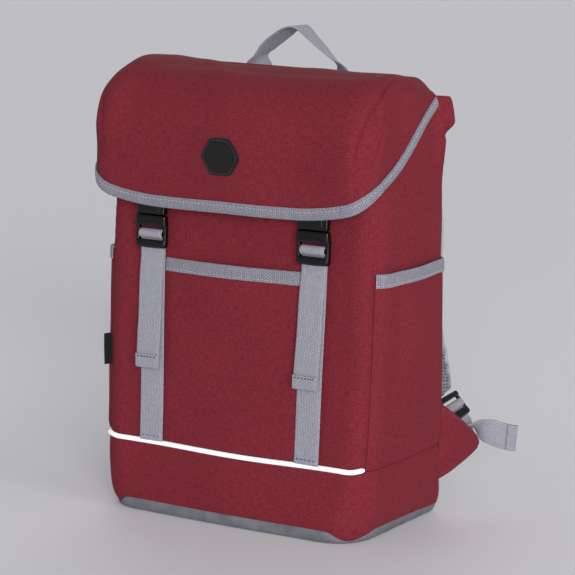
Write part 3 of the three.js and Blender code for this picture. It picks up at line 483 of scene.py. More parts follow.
def lid_slack(s, v):
    """Soft unevenness of the lid's cloth in millimetres: slow rumples, a gusset seam that curves from the
    side round each front corner, a crease below it, a rear corner puffed on the right and sunk on the left,
    and a hem rolled in at the rear."""
    points = lid(s, v)
    across, down = points[..., 0] + points[..., 1], points[..., 2]
    soft = 1.1 * rumple(across, down, 95, 11) + 0.45 * rumple(across, down, 38, 12)
    place = right_hand(s)
    right = np.asarray(s) > MIDDLE
    seam = gusset_seam(v)[0]
    held = step(v, 0.28, 0.36) * (1 - 0.75 * step(v, 0.52, 0.7)) * (1 - step(v, 0.9, 0.97))
    line = (-1.5 * bump(place, seam, 0.055) + 0.7 * bump(place, seam + 0.15, 0.1)) * held
    crease = -1.7 * bump(place, gusset_crease(v)[0], 0.055) * bump(v, 0.67, 0.13)
    puffed = 3.2 * bump(place, 4.82, 0.2) * bump(v, 0.325, 0.08)
    sunk = -3 * bump(place, 5.05, 0.4) * bump(v, 0.44, 0.1)
    corner = np.where(right, puffed, sunk)
    rear = 1 - step(LID_REAR - points[..., 1], 0, 6)
    hem = -2.4 * rear * (1 - step(v, 0.8 * TOP_SHARE, ROUND_SHARE))
    fade = step(v, 0.0, 0.12) * (1 - 0.7 * step(v, 0.9, 1))
    return soft * fade + line + corner + hem + np.where(right, 1.0, 0.5) * crease


def soft_lid(s, v, out=0.0):
    """Point on the lid with its slack, moved out along the normal."""
    s, v = np.broadcast_arrays(np.asarray(s, float), np.asarray(v, float))
    return lid(s, v) + lid_normal(s, v) * (lid_slack(s, v) + out)[..., None]


def lid_front_place(x):
    """Place on the lid's front at a distance across."""
    half, _, _, _, corner, _, _, _ = LID_OUTER
    return MIDDLE + x / (1 + LID_FLARE) / (2 * (half - corner))


def lid_share(s, z):
    """Share v at which the lid's front falls to a height, found by halving."""
    s, z = np.broadcast_arrays(np.asarray(s, float), np.asarray(z, float))
    low, high = np.full(s.shape, TOP_SHARE), np.ones(s.shape)
    for _ in range(30):
        middle = (low + high) / 2
        above = lid(s, middle)[..., 2] > z
        low, high = np.where(above, middle, low), np.where(above, high, middle)
    return low


def grid_faces(rows, columns):
    """Four corners of every cell of a grid of points."""
    corner = (np.arange(rows - 1)[:, None] * columns + np.arange(columns - 1)).ravel()
    return np.column_stack([corner, corner + 1, corner + columns + 1, corner + columns])


def surface_uv(points):
    """Flat coordinates of a grid in millimetres: the length along its middle row and middle column."""
    u = run_length(points[points.shape[0] // 2])
    v = run_length(points[:, points.shape[1] // 2])
    return np.stack(np.meshgrid(u, v), -1)


def shape(points, uv=None, number=0, caps=False):
    """A grid of points as (points, faces, uv, material number), its first and last row capped if asked."""
    rows, columns = points.shape[:2]
    uv = surface_uv(points) if uv is None else uv
    faces = grid_faces(rows, columns).tolist()
    if caps:
        last = (rows - 1) * columns
        faces.append(list(range(columns - 2, -1, -1)))
        faces.append(list(range(last, last + columns - 1)))
    return points.reshape(-1, 3), faces, uv.reshape(-1, 2), number


def slab(points, depth, number=0, uv=None):
    """A sheet with thickness: the grid, the same grid moved in along its normals, and rims between."""
    uv = surface_uv(points) if uv is None else uv
    inner = points - grid_normals(points) * depth
    skin = np.concatenate([points, inner[:, ::-1], points[:, :1]], axis=1)
    skin_uv = np.concatenate([uv, uv[:, ::-1], uv[:, :1]], axis=1)
    rows, columns = points.shape[:2]
    wide = 2 * columns + 1
    faces = grid_faces(rows, wide).tolist()
    first = np.arange(columns - 1)
    for start, turn in ((0, 1), ((rows - 1) * wide, -1)):
        rim = np.column_stack([first, first + 1, 2 * columns - 2 - first, 2 * columns - 1 - first]) + start
        faces += rim[:, ::-turn].tolist()
    return skin.reshape(-1, 3), faces, skin_uv.reshape(-1, 2), number


def carried(centres, firsts, seconds, profile, number=0, caps=True):
    """A closed profile of (first, second) pairs carried along centres with two directions each. There is one
    profile for all centres, or one for each."""
    profile = np.broadcast_to(profile, (len(centres), *np.shape(profile)[-2:]))
    profile = np.concatenate([profile, profile[:, :1]], axis=1)
    points = centres[:, None] + firsts[:, None] * profile[..., :1] + seconds[:, None] * profile[..., 1:]
    uv = np.stack(np.meshgrid(run_length(profile[0]), run_length(centres)), -1)
    return shape(points, uv, number, caps)


def flat_profile(width, thickness, round_points=5, face_points=8):
    """Section of webbing: a long rectangle with half-round selvages, walked across the front first."""
    edge = thickness / 2
    turn = np.linspace(np.pi / 2, -np.pi / 2, round_points + 2)[1:-1]
    face = np.linspace(-width / 2 + edge, width / 2 - edge, face_points)
    right = np.column_stack([width / 2 - edge + edge * np.cos(turn), edge * np.sin(turn)])
    front = np.column_stack([face, np.full(face_points, edge)])
    return np.concatenate([front, right, -front, -right])


def round_profile(radius, sides):
    """Regular polygon section of a cord."""
    angle = np.linspace(0, 2 * np.pi, sides, endpoint=False)
    return radius * np.column_stack([np.cos(angle), np.sin(angle)])


def ribbon(centres, across, width, thickness, number=0):
    """Webbing along centres: its flat section is carried with its width across and its face outwards."""
    along = unit(np.gradient(centres, axis=0))
    across = unit(across - along * (across * along).sum(-1, keepdims=True))
    return carried(centres, across, np.cross(across, along), flat_profile(width, thickness), number)


def stitches(path, normals, number=1, pitch=4.2, length=2.7, radius=0.38, lift=0.12):
    """Thread along a path: every stitch is a short spindle of six sides, pointed at both ends."""
    lengths = run_length(path)
    places = np.arange(pitch / 2, lengths[-1], pitch)
    pick = lambda values, at: np.stack([np.interp(at, lengths, values[:, k]) for k in range(3)], -1)
    along = unit(pick(path, places + 0.5) - pick(path, places - 0.5))
    out = unit(pick(normals, places))
    side = np.cross(along, out)
    ends = np.array([-0.5, -0.42, -0.2, 0.2, 0.42, 0.5]) * length
    girth = np.array([0.15, 0.7, 1, 1, 0.7, 0.15]) * radius
    dip = np.array([-0.45, -0.2, 0.05, 0.05, -0.2, -0.45]) * radius
    ring = round_profile(1, 6)[[*range(6), 0]]
    centre = pick(path, places) + out * lift
    spine = centre[:, None] + along[:, None] * ends[:, None] + out[:, None] * dip[:, None]
    wall = spine[:, :, None] + girth[:, None, None] * (
        side[:, None, None] * ring[:, :1] + out[:, None, None] * ring[:, 1:]
    )
    count, rows, columns = wall.shape[:3]
    cells = grid_faces(rows, columns)
    faces = (cells[None] + (np.arange(count) * rows * columns)[:, None, None]).reshape(-1, 4).tolist()
    uv = np.broadcast_to(np.stack(np.meshgrid(np.arange(columns), ends), -1), (*wall.shape[:3], 2))
    return wall.reshape(-1, 3), faces, uv.reshape(-1, 2), number


def pillow(section, back, front, edge, number=0, around=48, axes=None):
    """A moulded plate: rings of an outline grow from the middle of its back, round its edge by a quarter
    circle of radius edge, and close in the middle of its front."""
    s = np.linspace(0, RUNS, around + 1)
    turn = np.linspace(0, np.pi / 2, 5)
    insets = np.concatenate([edge * (1 - np.sin(turn)), edge * (1 - np.sin(turn[::-1]))])
    heights = np.concatenate([back + edge * (1 - np.cos(turn)), front - edge * (1 - np.cos(turn[::-1]))])
    rings = np.stack([np.stack(outline(section, s, inset), -1) for inset in insets])
    middle = np.array([section[1], (section[2] + section[3]) / 2])
    shares = np.array([0, 0.5])[:, None, None]
    rings = np.concatenate([mix(middle, rings[0], shares), rings, mix(middle, rings[-1], shares[::-1])])
    heights = np.concatenate([[back] * 2, heights, [front] * 2])
    points = np.concatenate([rings, np.broadcast_to(heights[:, None, None], (*rings.shape[:2], 1))], -1)
    return placed(shape(points, None, number), axes)


def ring_frame(outer, inner, back, front, edge, number=0, around=64, axes=None):
    """A moulded frame between two outlines: a rectangle with rounded edges, as wide as the distance from
    the inner to the outer outline, carried round them."""
    s = np.linspace(0, RUNS, around + 1)
    inside = np.stack(outline(inner, s), -1)
    reach = np.stack(outline(outer, s), -1) - inside
    width = np.linalg.norm(reach, axis=-1)
    turn = np.linspace(0, np.pi / 2, 4)
    corner = edge * np.column_stack([1 - np.cos(turn), 1 - np.sin(turn)])
    low = np.broadcast_to(corner, (len(s), *corner.shape))
    high = np.stack([width[:, None] - low[:, ::-1, 0], low[:, ::-1, 1]], -1)
    profile = np.concatenate([low, high], axis=1)
    away = np.concatenate([back + profile[..., 1], (front - profile[..., 1])[:, ::-1]], axis=1)
    out = np.concatenate([profile[..., 0], profile[..., 0][:, ::-1]], axis=1)
    out, away = np.column_stack([out, out[:, :1]]), np.column_stack([away, away[:, :1]])
    flat = inside[:, None] + unit(reach)[:, None] * out[..., None]
    return placed(shape(np.concatenate([flat, away[..., None]], -1), None, number), axes)


def placed(made, axes):
    """A shape moved to axes of (origin, across, up, out)."""
    if axes is None:
        return made
    points, faces, uv, number = made
    origin, across, up, out = axes
    return origin + points @ np.stack([across, up, out]), faces, uv, number


def outwards(points, faces):
    """Faces of a closed shell, turned round where the volume they enclose comes out negative."""
    fans = np.array([(f[0], f[i], f[i + 1]) for f in faces for i in range(1, len(f) - 1)])
    a, b, c = points[fans[:, 0]], points[fans[:, 1]], points[fans[:, 2]]
    volume = (a * np.cross(b, c)).sum()
    return faces if volume > 0 else [f[::-1] for f in faces]


def weld(mesh):
    """Merges the points of a mesh that lie on each other."""
    work = bmesh.new()
    work.from_mesh(mesh)
    bmesh.ops.remove_doubles(work, verts=work.verts, dist=1e-6)
    work.to_mesh(mesh)
    work.free()


def make_piece(name, shapes, looks, cad_node, sharp=SOFT_EDGE):
    """Joins shapes into one mesh in metres, welds their seams, shades it smooth and settles it."""
    points, faces, uvs, numbers, start = [], [], [], [], 0
    for made, made_faces, uv, number in shapes:
        turned = outwards(made, made_faces)
        faces += [[i + start for i in face] for face in turned]
        numbers += [number] * len(turned)
        points.append(made)
        uvs.append(uv)
        start += len(made)
    mesh = bpy.data.meshes.new(name)
    mesh.from_pydata((np.concatenate(points) * MM).tolist(), [], faces)
    mesh.polygons.foreach_set("material_index", numbers)
    corners = np.zeros(len(mesh.loops), int)
    mesh.loops.foreach_get("vertex_index", corners)
    layer = mesh.uv_layers.new(name=UV_NAME)
    layer.uv.foreach_set("vector", (np.concatenate(uvs) * MM)[corners].astype(np.float32).ravel())
    weld(mesh)
    mesh.shade_smooth()
    mesh.set_sharp_from_angle(angle=np.radians(sharp))
    thing = bpy.data.objects.new(name, mesh)
    bpy.context.scene.collection.objects.link(thing)
    settle(thing, looks, cad_node)


def settle(thing, looks, cad_node):
    """Gives a linked object its materials, lets it ride on the body and stand for its CAD node."""
    for look in looks:
        thing.data.materials.append(finish(look))
    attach(thing, BODY_NAME)
    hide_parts(cad_node)


def fill(tree, made, inputs):
    """Fills the inputs of a shader node with values or with links."""
    for key, value in inputs.items():
        if isinstance(value, bpy.types.NodeSocket):
            tree.links.new(value, made.inputs[key])
        else:
            made.inputs[key].default_value = value


def node(tree, kind, inputs, stops=(), **settings):
    """Adds a shader node with its settings, its links and, on a ramp, its stops of (position, colour)."""
    made = tree.nodes.new("ShaderNode" + kind)
    for key, value in settings.items():
        setattr(made, key, value)
    for stop, (position, colour) in enumerate(stops):
        made.color_ramp.elements[stop].position = position
        made.color_ramp.elements[stop].color = tuple(colour)
    fill(tree, made, inputs)
    return made


def shaded(colour, share):
    """A colour with its alpha, moved a share of the way to black."""
    return tuple(mix(np.array(colour), np.zeros(4), share))


def new_material(name, **sockets):
    """A material with one Principled shader, whose constant sockets are set by name."""
    if name in bpy.data.materials:
        bpy.data.materials.remove(bpy.data.materials[name])
    material = bpy.data.materials.new(name)
    material.use_nodes = True
    shader = material.node_tree.nodes["Principled BSDF"]
    for key, value in sockets.items():
        shader.inputs[key.replace("_", " ")].default_value = value
    return material.node_tree, shader


def wine_red_polyester(colours):
    """Plain-woven polyester: matt, with a faint sheen, and threads of two reds that give a heathered look.
    Real threads are about 0.5 mm; they are drawn at 1.3 mm so that the weave shows in the render."""
    thread = 1.3 * MM
    tree, shader = new_material(
        "wine_red_woven_polyester",
        Roughness=0.86,
        IOR=1.5,
        Sheen_Weight=0.03,
        Sheen_Roughness=0.5,
        Sheen_Tint=linear("E8B0B4"),
        Specular_IOR_Level=0.08,
    )
    uv = node(tree, "UVMap", {}, uv_map=UV_NAME).outputs["UV"]
    scale = {"Vector": uv, "Scale": WAVE_TURN / thread}
    warp = node(tree, "TexWave", scale, bands_direction="X").outputs["Fac"]
    weft = node(tree, "TexWave", scale, bands_direction="Y").outputs["Fac"]
    over = node(tree, "TexChecker", {"Vector": uv, "Scale": 1 / thread}).outputs["Fac"]
    height = node(tree, "Mix", {0: over, 2: warp, 3: weft}).outputs[0]
    slub = node(tree, "Mapping", {"Vector": uv, "Scale": (1, 0.28, 1)}).outputs["Vector"]
    fleck = {"Scale": 1 / (1.5 * MM), "Detail": 2.0}
    warp_fleck = node(tree, "TexNoise", {"Vector": slub, **fleck}).outputs["Fac"]
    cross = node(tree, "Mapping", {"Vector": uv, "Scale": (0.28, 1, 1)}).outputs["Vector"]
    weft_fleck = node(tree, "TexNoise", {"Vector": cross, **fleck}).outputs["Fac"]
    heather = node(tree, "Mix", {0: over, 2: warp_fleck, 3: weft_fleck}).outputs[0]
    reds = ((0.3, colours.cloth_dark), (0.7, colours.cloth))
    ramp = node(tree, "ValToRGB", {"Fac": heather}, reds)
    place = node(tree, "TexCoord", {}).outputs["Object"]
    cloud = node(tree, "TexNoise", {"Vector": place, "Scale": 1 / (70 * MM), "Detail": 1.0}).outputs["Fac"]
    # Painted shade: the colour is darker in the weave's hollows and a little lighter on its crowns, following
    # the weave's height.
    shade = node(tree, "MapRange", {"Value": height, "To Min": 0.72, "To Max": 1.06}).outputs[0]
    drift = node(tree, "MapRange", {"Value": cloud, "To Min": 0.92, "To Max": 1.08}).outputs[0]
    both = node(tree, "Math", {0: shade, 1: drift}, operation="MULTIPLY").outputs[0]
    tint = {0: 1.0, 6: ramp.outputs["Color"], 7: both}
    colour = node(tree, "Mix", tint, data_type="RGBA", blend_type="MULTIPLY")
    relief = node(tree, "Bump", {"Height": height, "Strength": 0.35, "Distance": 0.25 * MM})
    fill(tree, shader, {"Base Color": colour.outputs[2], "Normal": relief.outputs["Normal"]})


def woven_tape(name, light, dark, rib, pitch):
    """Woven polyester webbing or tape: short floats of yarn in staggered rows along its length, light on the
    crowns with painted shade in the gaps between them, which reads as a fine rib. Real rows are about 0.6 mm;
    they are drawn at a pitch of 1.7 or 1.9 mm so that they show in the render."""
    light, dark = tuple(light), tuple(dark)
    tree, shader = new_material(
        name,
        Roughness=0.8,
        IOR=1.5,
        Sheen_Weight=0.08,
        Sheen_Roughness=0.45,
        Specular_IOR_Level=0.35,
    )
    uv = node(tree, "UVMap", {}, uv_map=UV_NAME).outputs["UV"]
    turned = node(tree, "Mapping", {"Vector": uv, "Rotation": (0, 0, np.pi / 2)}).outputs["Vector"]
    # Painted shade: the mortar between the floats takes the dark colour, where shade falls between the yarns.
    floats = node(
        tree,
        "TexBrick",
        {
            "Vector": turned,
            "Color1": light,
            "Color2": tuple(mix(np.array(light), np.array(dark), 0.25)),
            "Mortar": dark,
            "Scale": 1 / MM,
            "Mortar Size": 0.16 * pitch,
            "Mortar Smooth": 0.9,
            "Brick Width": rib,
            "Row Height": pitch,
        },
        offset=0.5,
    )
    grime = node(tree, "TexNoise", {"Vector": uv, "Scale": 1 / (16 * MM), "Detail": 2.0}).outputs["Fac"]
    shade = node(tree, "MapRange", {"Value": grime, "To Min": 0.93, "To Max": 1.06}).outputs[0]
    tint = {0: 1.0, 6: floats.outputs["Color"], 7: shade}
    colour = node(tree, "Mix", tint, data_type="RGBA", blend_type="MULTIPLY")
    ribs = {"Height": floats.outputs["Fac"], "Strength": 0.5, "Distance": 0.3 * MM}
    relief = node(tree, "Bump", ribs, invert=True)
    fill(tree, shader, {"Base Color": colour.outputs[2], "Normal": relief.outputs["Normal"]})


def coated_base_cloth(colours):
    """Coated polyester of the base: dull dark grey with a tight grain of 1.1 mm and scuffs of about 14 mm."""
    tree, shader = new_material("dark_grey_coated_polyester", Roughness=0.72, IOR=1.5)
    place = node(tree, "TexCoord", {}).outputs["Object"]
    grain = node(tree, "TexVoronoi", {"Vector": place, "Scale": 1 / (1.1 * MM)}).outputs["Distance"]
    scuff = node(tree, "TexNoise", {"Vector": place, "Scale": 1 / (14 * MM), "Detail": 5.0}).outputs["Fac"]
    greys = ((0.35, colours.base), (0.75, colours.base_worn))
    colour = node(tree, "ValToRGB", {"Fac": scuff}, greys)
    relief = node(tree, "Bump", {"Height": grain, "Strength": 0.3, "Distance": 0.2 * MM})
    fill(tree, shader, {"Base Color": colour.outputs["Color"], "Normal": relief.outputs["Normal"]})


def spacer_mesh(colours):
    """Knitted spacer mesh over foam: rows of small holes, 3.2 mm apart, in soft grey yarn, with painted shade
    in the holes. The attribute of its edging turns the yarn to the plain grey of the tape that binds its
    edges."""
    tree, shader = new_material(
        "grey_spacer_mesh",
        Roughness=0.92,
        IOR=1.5,
        Sheen_Weight=0.25,
        Sheen_Roughness=0.5,
    )
    place = node(tree, "TexCoord", {}).outputs["Object"]
    x, y, z = node(tree, "SeparateXYZ", {0: place}).outputs
    facing = node(tree, "SeparateXYZ", {0: node(tree, "NewGeometry", {}).outputs["Normal"]}).outputs["X"]
    turned = node(tree, "Math", {0: facing}, operation="ABSOLUTE").outputs[0]
    aside = node(tree, "Math", {0: turned, 1: 0.7}, operation="GREATER_THAN").outputs[0]
    across = node(tree, "Mix", {0: aside, 2: x, 3: y}).outputs[0]
    plane = node(tree, "CombineXYZ", {0: across, 1: z}).outputs[0]
    cell = {"Vector": plane, "Scale": 1 / (3.2 * MM), "Randomness": 0.25}
    hole = node(tree, "TexVoronoi", cell, voronoi_dimensions="2D").outputs["Distance"]
    open_share = node(tree, "MapRange", {"Value": hole, "From Min": 0.14, "From Max": 0.4}).outputs[0]
    yarn = node(tree, "TexNoise", {"Vector": place, "Scale": 1 / (6 * MM), "Detail": 3.0}).outputs["Fac"]
    greys = ((0, shaded(colours.mesh, 0.25)), (1, colours.mesh))
    ramp = node(tree, "ValToRGB", {"Fac": yarn}, greys)
    # Painted shade: the holes take a dark grey where shade falls inside the mesh.
    knit = {0: open_share, 6: tuple(colours.mesh_hole_shade), 7: ramp.outputs["Color"]}
    knitted = node(tree, "Mix", knit, data_type="RGBA").outputs[2]
    bound = node(tree, "Attribute", {}, attribute_name=EDGING).outputs["Fac"]
    colour = node(tree, "Mix", {0: bound, 6: knitted, 7: tuple(colours.webbing)}, data_type="RGBA")
    relief = node(tree, "Bump", {"Height": open_share, "Strength": 0.6, "Distance": 0.6 * MM})
    fill(tree, shader, {"Base Color": colour.outputs[2], "Normal": relief.outputs["Normal"]})


def black_acetal(colours):
    """Injection-moulded acetal: deep black with a soft gloss, a faint grain of 0.5 mm and rubbed patches of
    about 5 mm."""
    tree, shader = new_material(
        "black_moulded_acetal",
        Base_Color=tuple(colours.plastic),
        IOR=1.48,
        Specular_IOR_Level=0.4,
    )
    place = node(tree, "TexCoord", {}).outputs["Object"]
    rub = node(tree, "TexNoise", {"Vector": place, "Scale": 1 / (5 * MM), "Detail": 4.0}).outputs["Fac"]
    gloss = node(tree, "MapRange", {"Value": rub, "To Min": 0.16, "To Max": 0.28}).outputs[0]
    grain = node(tree, "TexNoise", {"Vector": place, "Scale": 1 / (0.5 * MM), "Detail": 2.0}).outputs["Fac"]
    relief = node(tree, "Bump", {"Height": grain, "Strength": 0.06, "Distance": 0.1 * MM})
    fill(tree, shader, {"Roughness": gloss, "Normal": relief.outputs["Normal"]})


def black_loop_pile(colours):
    """Loop side of a hook-and-loop patch: a black nap of tiny curled loops, about 0.9 mm each."""
    tree, shader = new_material(
        "black_loop_pile",
        Roughness=0.95,
        IOR=1.5,
        Sheen_Weight=0.03,
        Sheen_Roughness=0.4,
    )
    place = node(tree, "TexCoord", {}).outputs["Object"]
    loops = node(tree, "TexVoronoi", {"Vector": place, "Scale": 1 / (0.9 * MM)}).outputs["Distance"]
    # Painted shade: the black darkens away from each loop's middle, in the hollows between the loops.
    blacks = ((0, colours.patch), (1, shaded(colours.patch, 0.6)))
    colour = node(tree, "ValToRGB", {"Fac": loops}, blacks)
    relief = node(tree, "Bump", {"Height": loops, "Strength": 0.7, "Distance": 0.5 * MM}, invert=True)
    fill(tree, shader, {"Base Color": colour.outputs["Color"], "Normal": relief.outputs["Normal"]})


def glass_bead_tape(colours):
    """Retroreflective tape: white cloth coated with glass beads. It sends light back to its source, so it
    stays brighter than its surroundings; a little emission stands for that. Real beads are under 0.1 mm; they
    are drawn at 0.6 mm so that they show."""
    tree, shader = new_material(
        "white_glass_bead_tape",
        Roughness=0.32,
        IOR=1.5,
        Emission_Color=tuple(colours.reflector),
        Emission_Strength=0.35,
    )
    place = node(tree, "TexCoord", {}).outputs["Object"]
    beads = node(tree, "TexVoronoi", {"Vector": place, "Scale": 1 / (0.6 * MM)}).outputs["Distance"]
    # Painted shade: the white darkens away from each bead's middle, between the beads.
    whites = ((0, colours.reflector), (1, shaded(colours.reflector, 0.18)))
    colour = node(tree, "ValToRGB", {"Fac": beads}, whites)
    relief = node(tree, "Bump", {"Height": beads, "Strength": 0.25, "Distance": 0.1 * MM}, invert=True)
    fill(tree, shader, {"Base Color": colour.outputs["Color"], "Normal": relief.outputs["Normal"]})


def sewing_thread(name, colour):
    """Twisted polyester sewing thread: slanting plies about 0.8 mm apart, with painted shade between them."""
    tree, shader = new_material(name, Roughness=0.6, IOR=1.5, Sheen_Weight=0.3)
    place = node(tree, "TexCoord", {}).outputs["Object"]
    twist = {"Vector": place, "Scale": WAVE_TURN / (0.8 * MM)}
    ply = node(tree, "TexWave", twist, bands_direction="DIAGONAL").outputs["Fac"]
    plies = ((0, shaded(colour, 0.4)), (1, colour))
    fill(tree, shader, {"Base Color": node(tree, "ValToRGB", {"Fac": ply}, plies).outputs["Color"]})


def make_finishes(colours):
    """Makes every material of the object."""
    wine_red_polyester(colours)
    woven_tape("grey_polyester_webbing", colours.webbing, colours.webbing_gap_shade, rib=2.4, pitch=1.7)
    woven_tape("grey_binding_tape", colours.tape, colours.tape_gap_shade, rib=2.8, pitch=1.9)
    coated_base_cloth(colours)
    spacer_mesh(colours)
    black_acetal(colours)
    black_loop_pile(colours)
    glass_bead_tape(colours)
    sewing_thread("grey_sewing_thread", colours.thread)
    sewing_thread("dark_sewing_thread", colours.thread_dark)
    sewing_thread("wine_red_sewing_thread", colours.cloth_dark)


def finish(look):
    """Material of a finish by its short name. All of them are made when the first is asked for."""
    name, _ = FINISHES[look]
    if name not in bpy.data.materials:
        make_finishes(bpy.context.scene.backpack_colours)
    return bpy.data.materials[name]


def wall_slack(s, z, low, high):
    """Unevenness of a sewn wall in millimetres: slow rumples that die out towards its seams, a dip and fine
    puckers along both upright seams, a tuck along the lower seam, and a fold along the collar's crease."""
    points = body(s, z)
    across = points[..., 0] * 0.9 + points[..., 1] * 0.7
    inside = step(z, low, low + 45) * (1 - step(z, high - 20, high))
    near = np.minimum(s - s.min(), s.max() - s) * CORNER_RUN
    edge = step(near, 0, 22)
    soft = 1.0 * rumple(across, z, 120, 21) + 0.5 * rumple(across, z, 46, 22)
    pucker = 0.22 * np.cos(2 * np.pi * z / 9.5 + 1.7 * np.sin(z / 31)) * np.exp(-near / 7)
    seam = -1.1 * bump(near, 0, 2.6)
    place = right_hand(s)
    fold = -1.0 * bump(z, collar_crease(place) - 1, 3.2) * step(place, 4.45, 4.9)
    tuck = -0.9 * bump(z, low, 3.0) * (1 - step(place, *TUCK_FADE))
    return soft * inside * edge + pucker * inside + seam + tuck + fold


class BackpackColours(bpy.types.PropertyGroup):
    """Colours of the backpack's materials."""

    def colour(name, description, code):
        """Property of one colour, from its sRGB hex value."""
        return bpy.props.FloatVectorProperty(
            name=name, description=description, subtype="COLOR", size=4, min=0, max=1, default=linear(code)
        )

    cloth: colour("Cloth", "Light threads of the wine-red cloth", "862F3A")
    cloth_dark: colour("Cloth shade", "Dark threads of the wine-red cloth", "6B212B")
    webbing: colour("Webbing", "Crowns of the webbing's yarn", "A3A3AE")
    # Painted shade between the webbing's yarns.
    webbing_gap_shade: colour("Webbing shade", "Gaps between the webbing's yarns", "6A6974")
    tape: colour("Tape", "Crowns of the binding tape's yarn", "93929C")
    # Painted shade between the tape's yarns.
    tape_gap_shade: colour("Tape shade", "Gaps between the tape's yarns", "4E4D57")
    base: colour("Base", "Coated cloth of the base", "5E5E65")
    base_worn: colour("Base scuffs", "Worn places of the base", "74747B")
    mesh: colour("Mesh", "Spacer mesh of the padding", "7D7D85")
    # Painted shade in the spacer mesh's holes.
    mesh_hole_shade: colour("Mesh holes", "Dark holes in the spacer mesh", "38383D")
    plastic: colour("Buckles", "Moulded buckles and adjusters", "060607")
    patch: colour("Patch", "Loop patch and seam label", "0A0A0C")
    reflector: colour("Reflector", "Retroreflective piping", "F4F5F8")
    thread: colour("Thread", "Light stitching on the tapes", "B4B4BE")
    thread_dark: colour("Dark thread", "Stitching of the webbing's hems", "2C2C31")
    floor: colour("Floor", "Plain studio floor", "EAEAED")


class BackpackSizes(bpy.types.PropertyGroup):
    """Sizes of the backpack's trim and padding."""

    def length(name, description, millimetres):
        """Property of one length, from its millimetres."""
        return bpy.props.FloatProperty(
            name=name, description=description, default=millimetres * MM, min=0, unit="LENGTH"
        )

    webbing_width: length("Webbing width", "Width of the straps' webbing", 25)
    webbing_thickness: length("Webbing thickness", "Thickness of the straps' webbing", 1.6)
    tape_width: length("Tape width", "Visible width of the binding tape", 11)
    tape_thickness: length("Tape thickness", "Thickness of the binding tape", 1.1)
    stitch_pitch: length("Stitch pitch", "Distance from stitch to stitch", 4.2)
    pad_swell: length("Pad swell", "Most that padding may swell in the cloth simulation", 4)
    pad_voxel: length("Pad mesh", "Size of the padding's cells in the cloth simulation", 4)


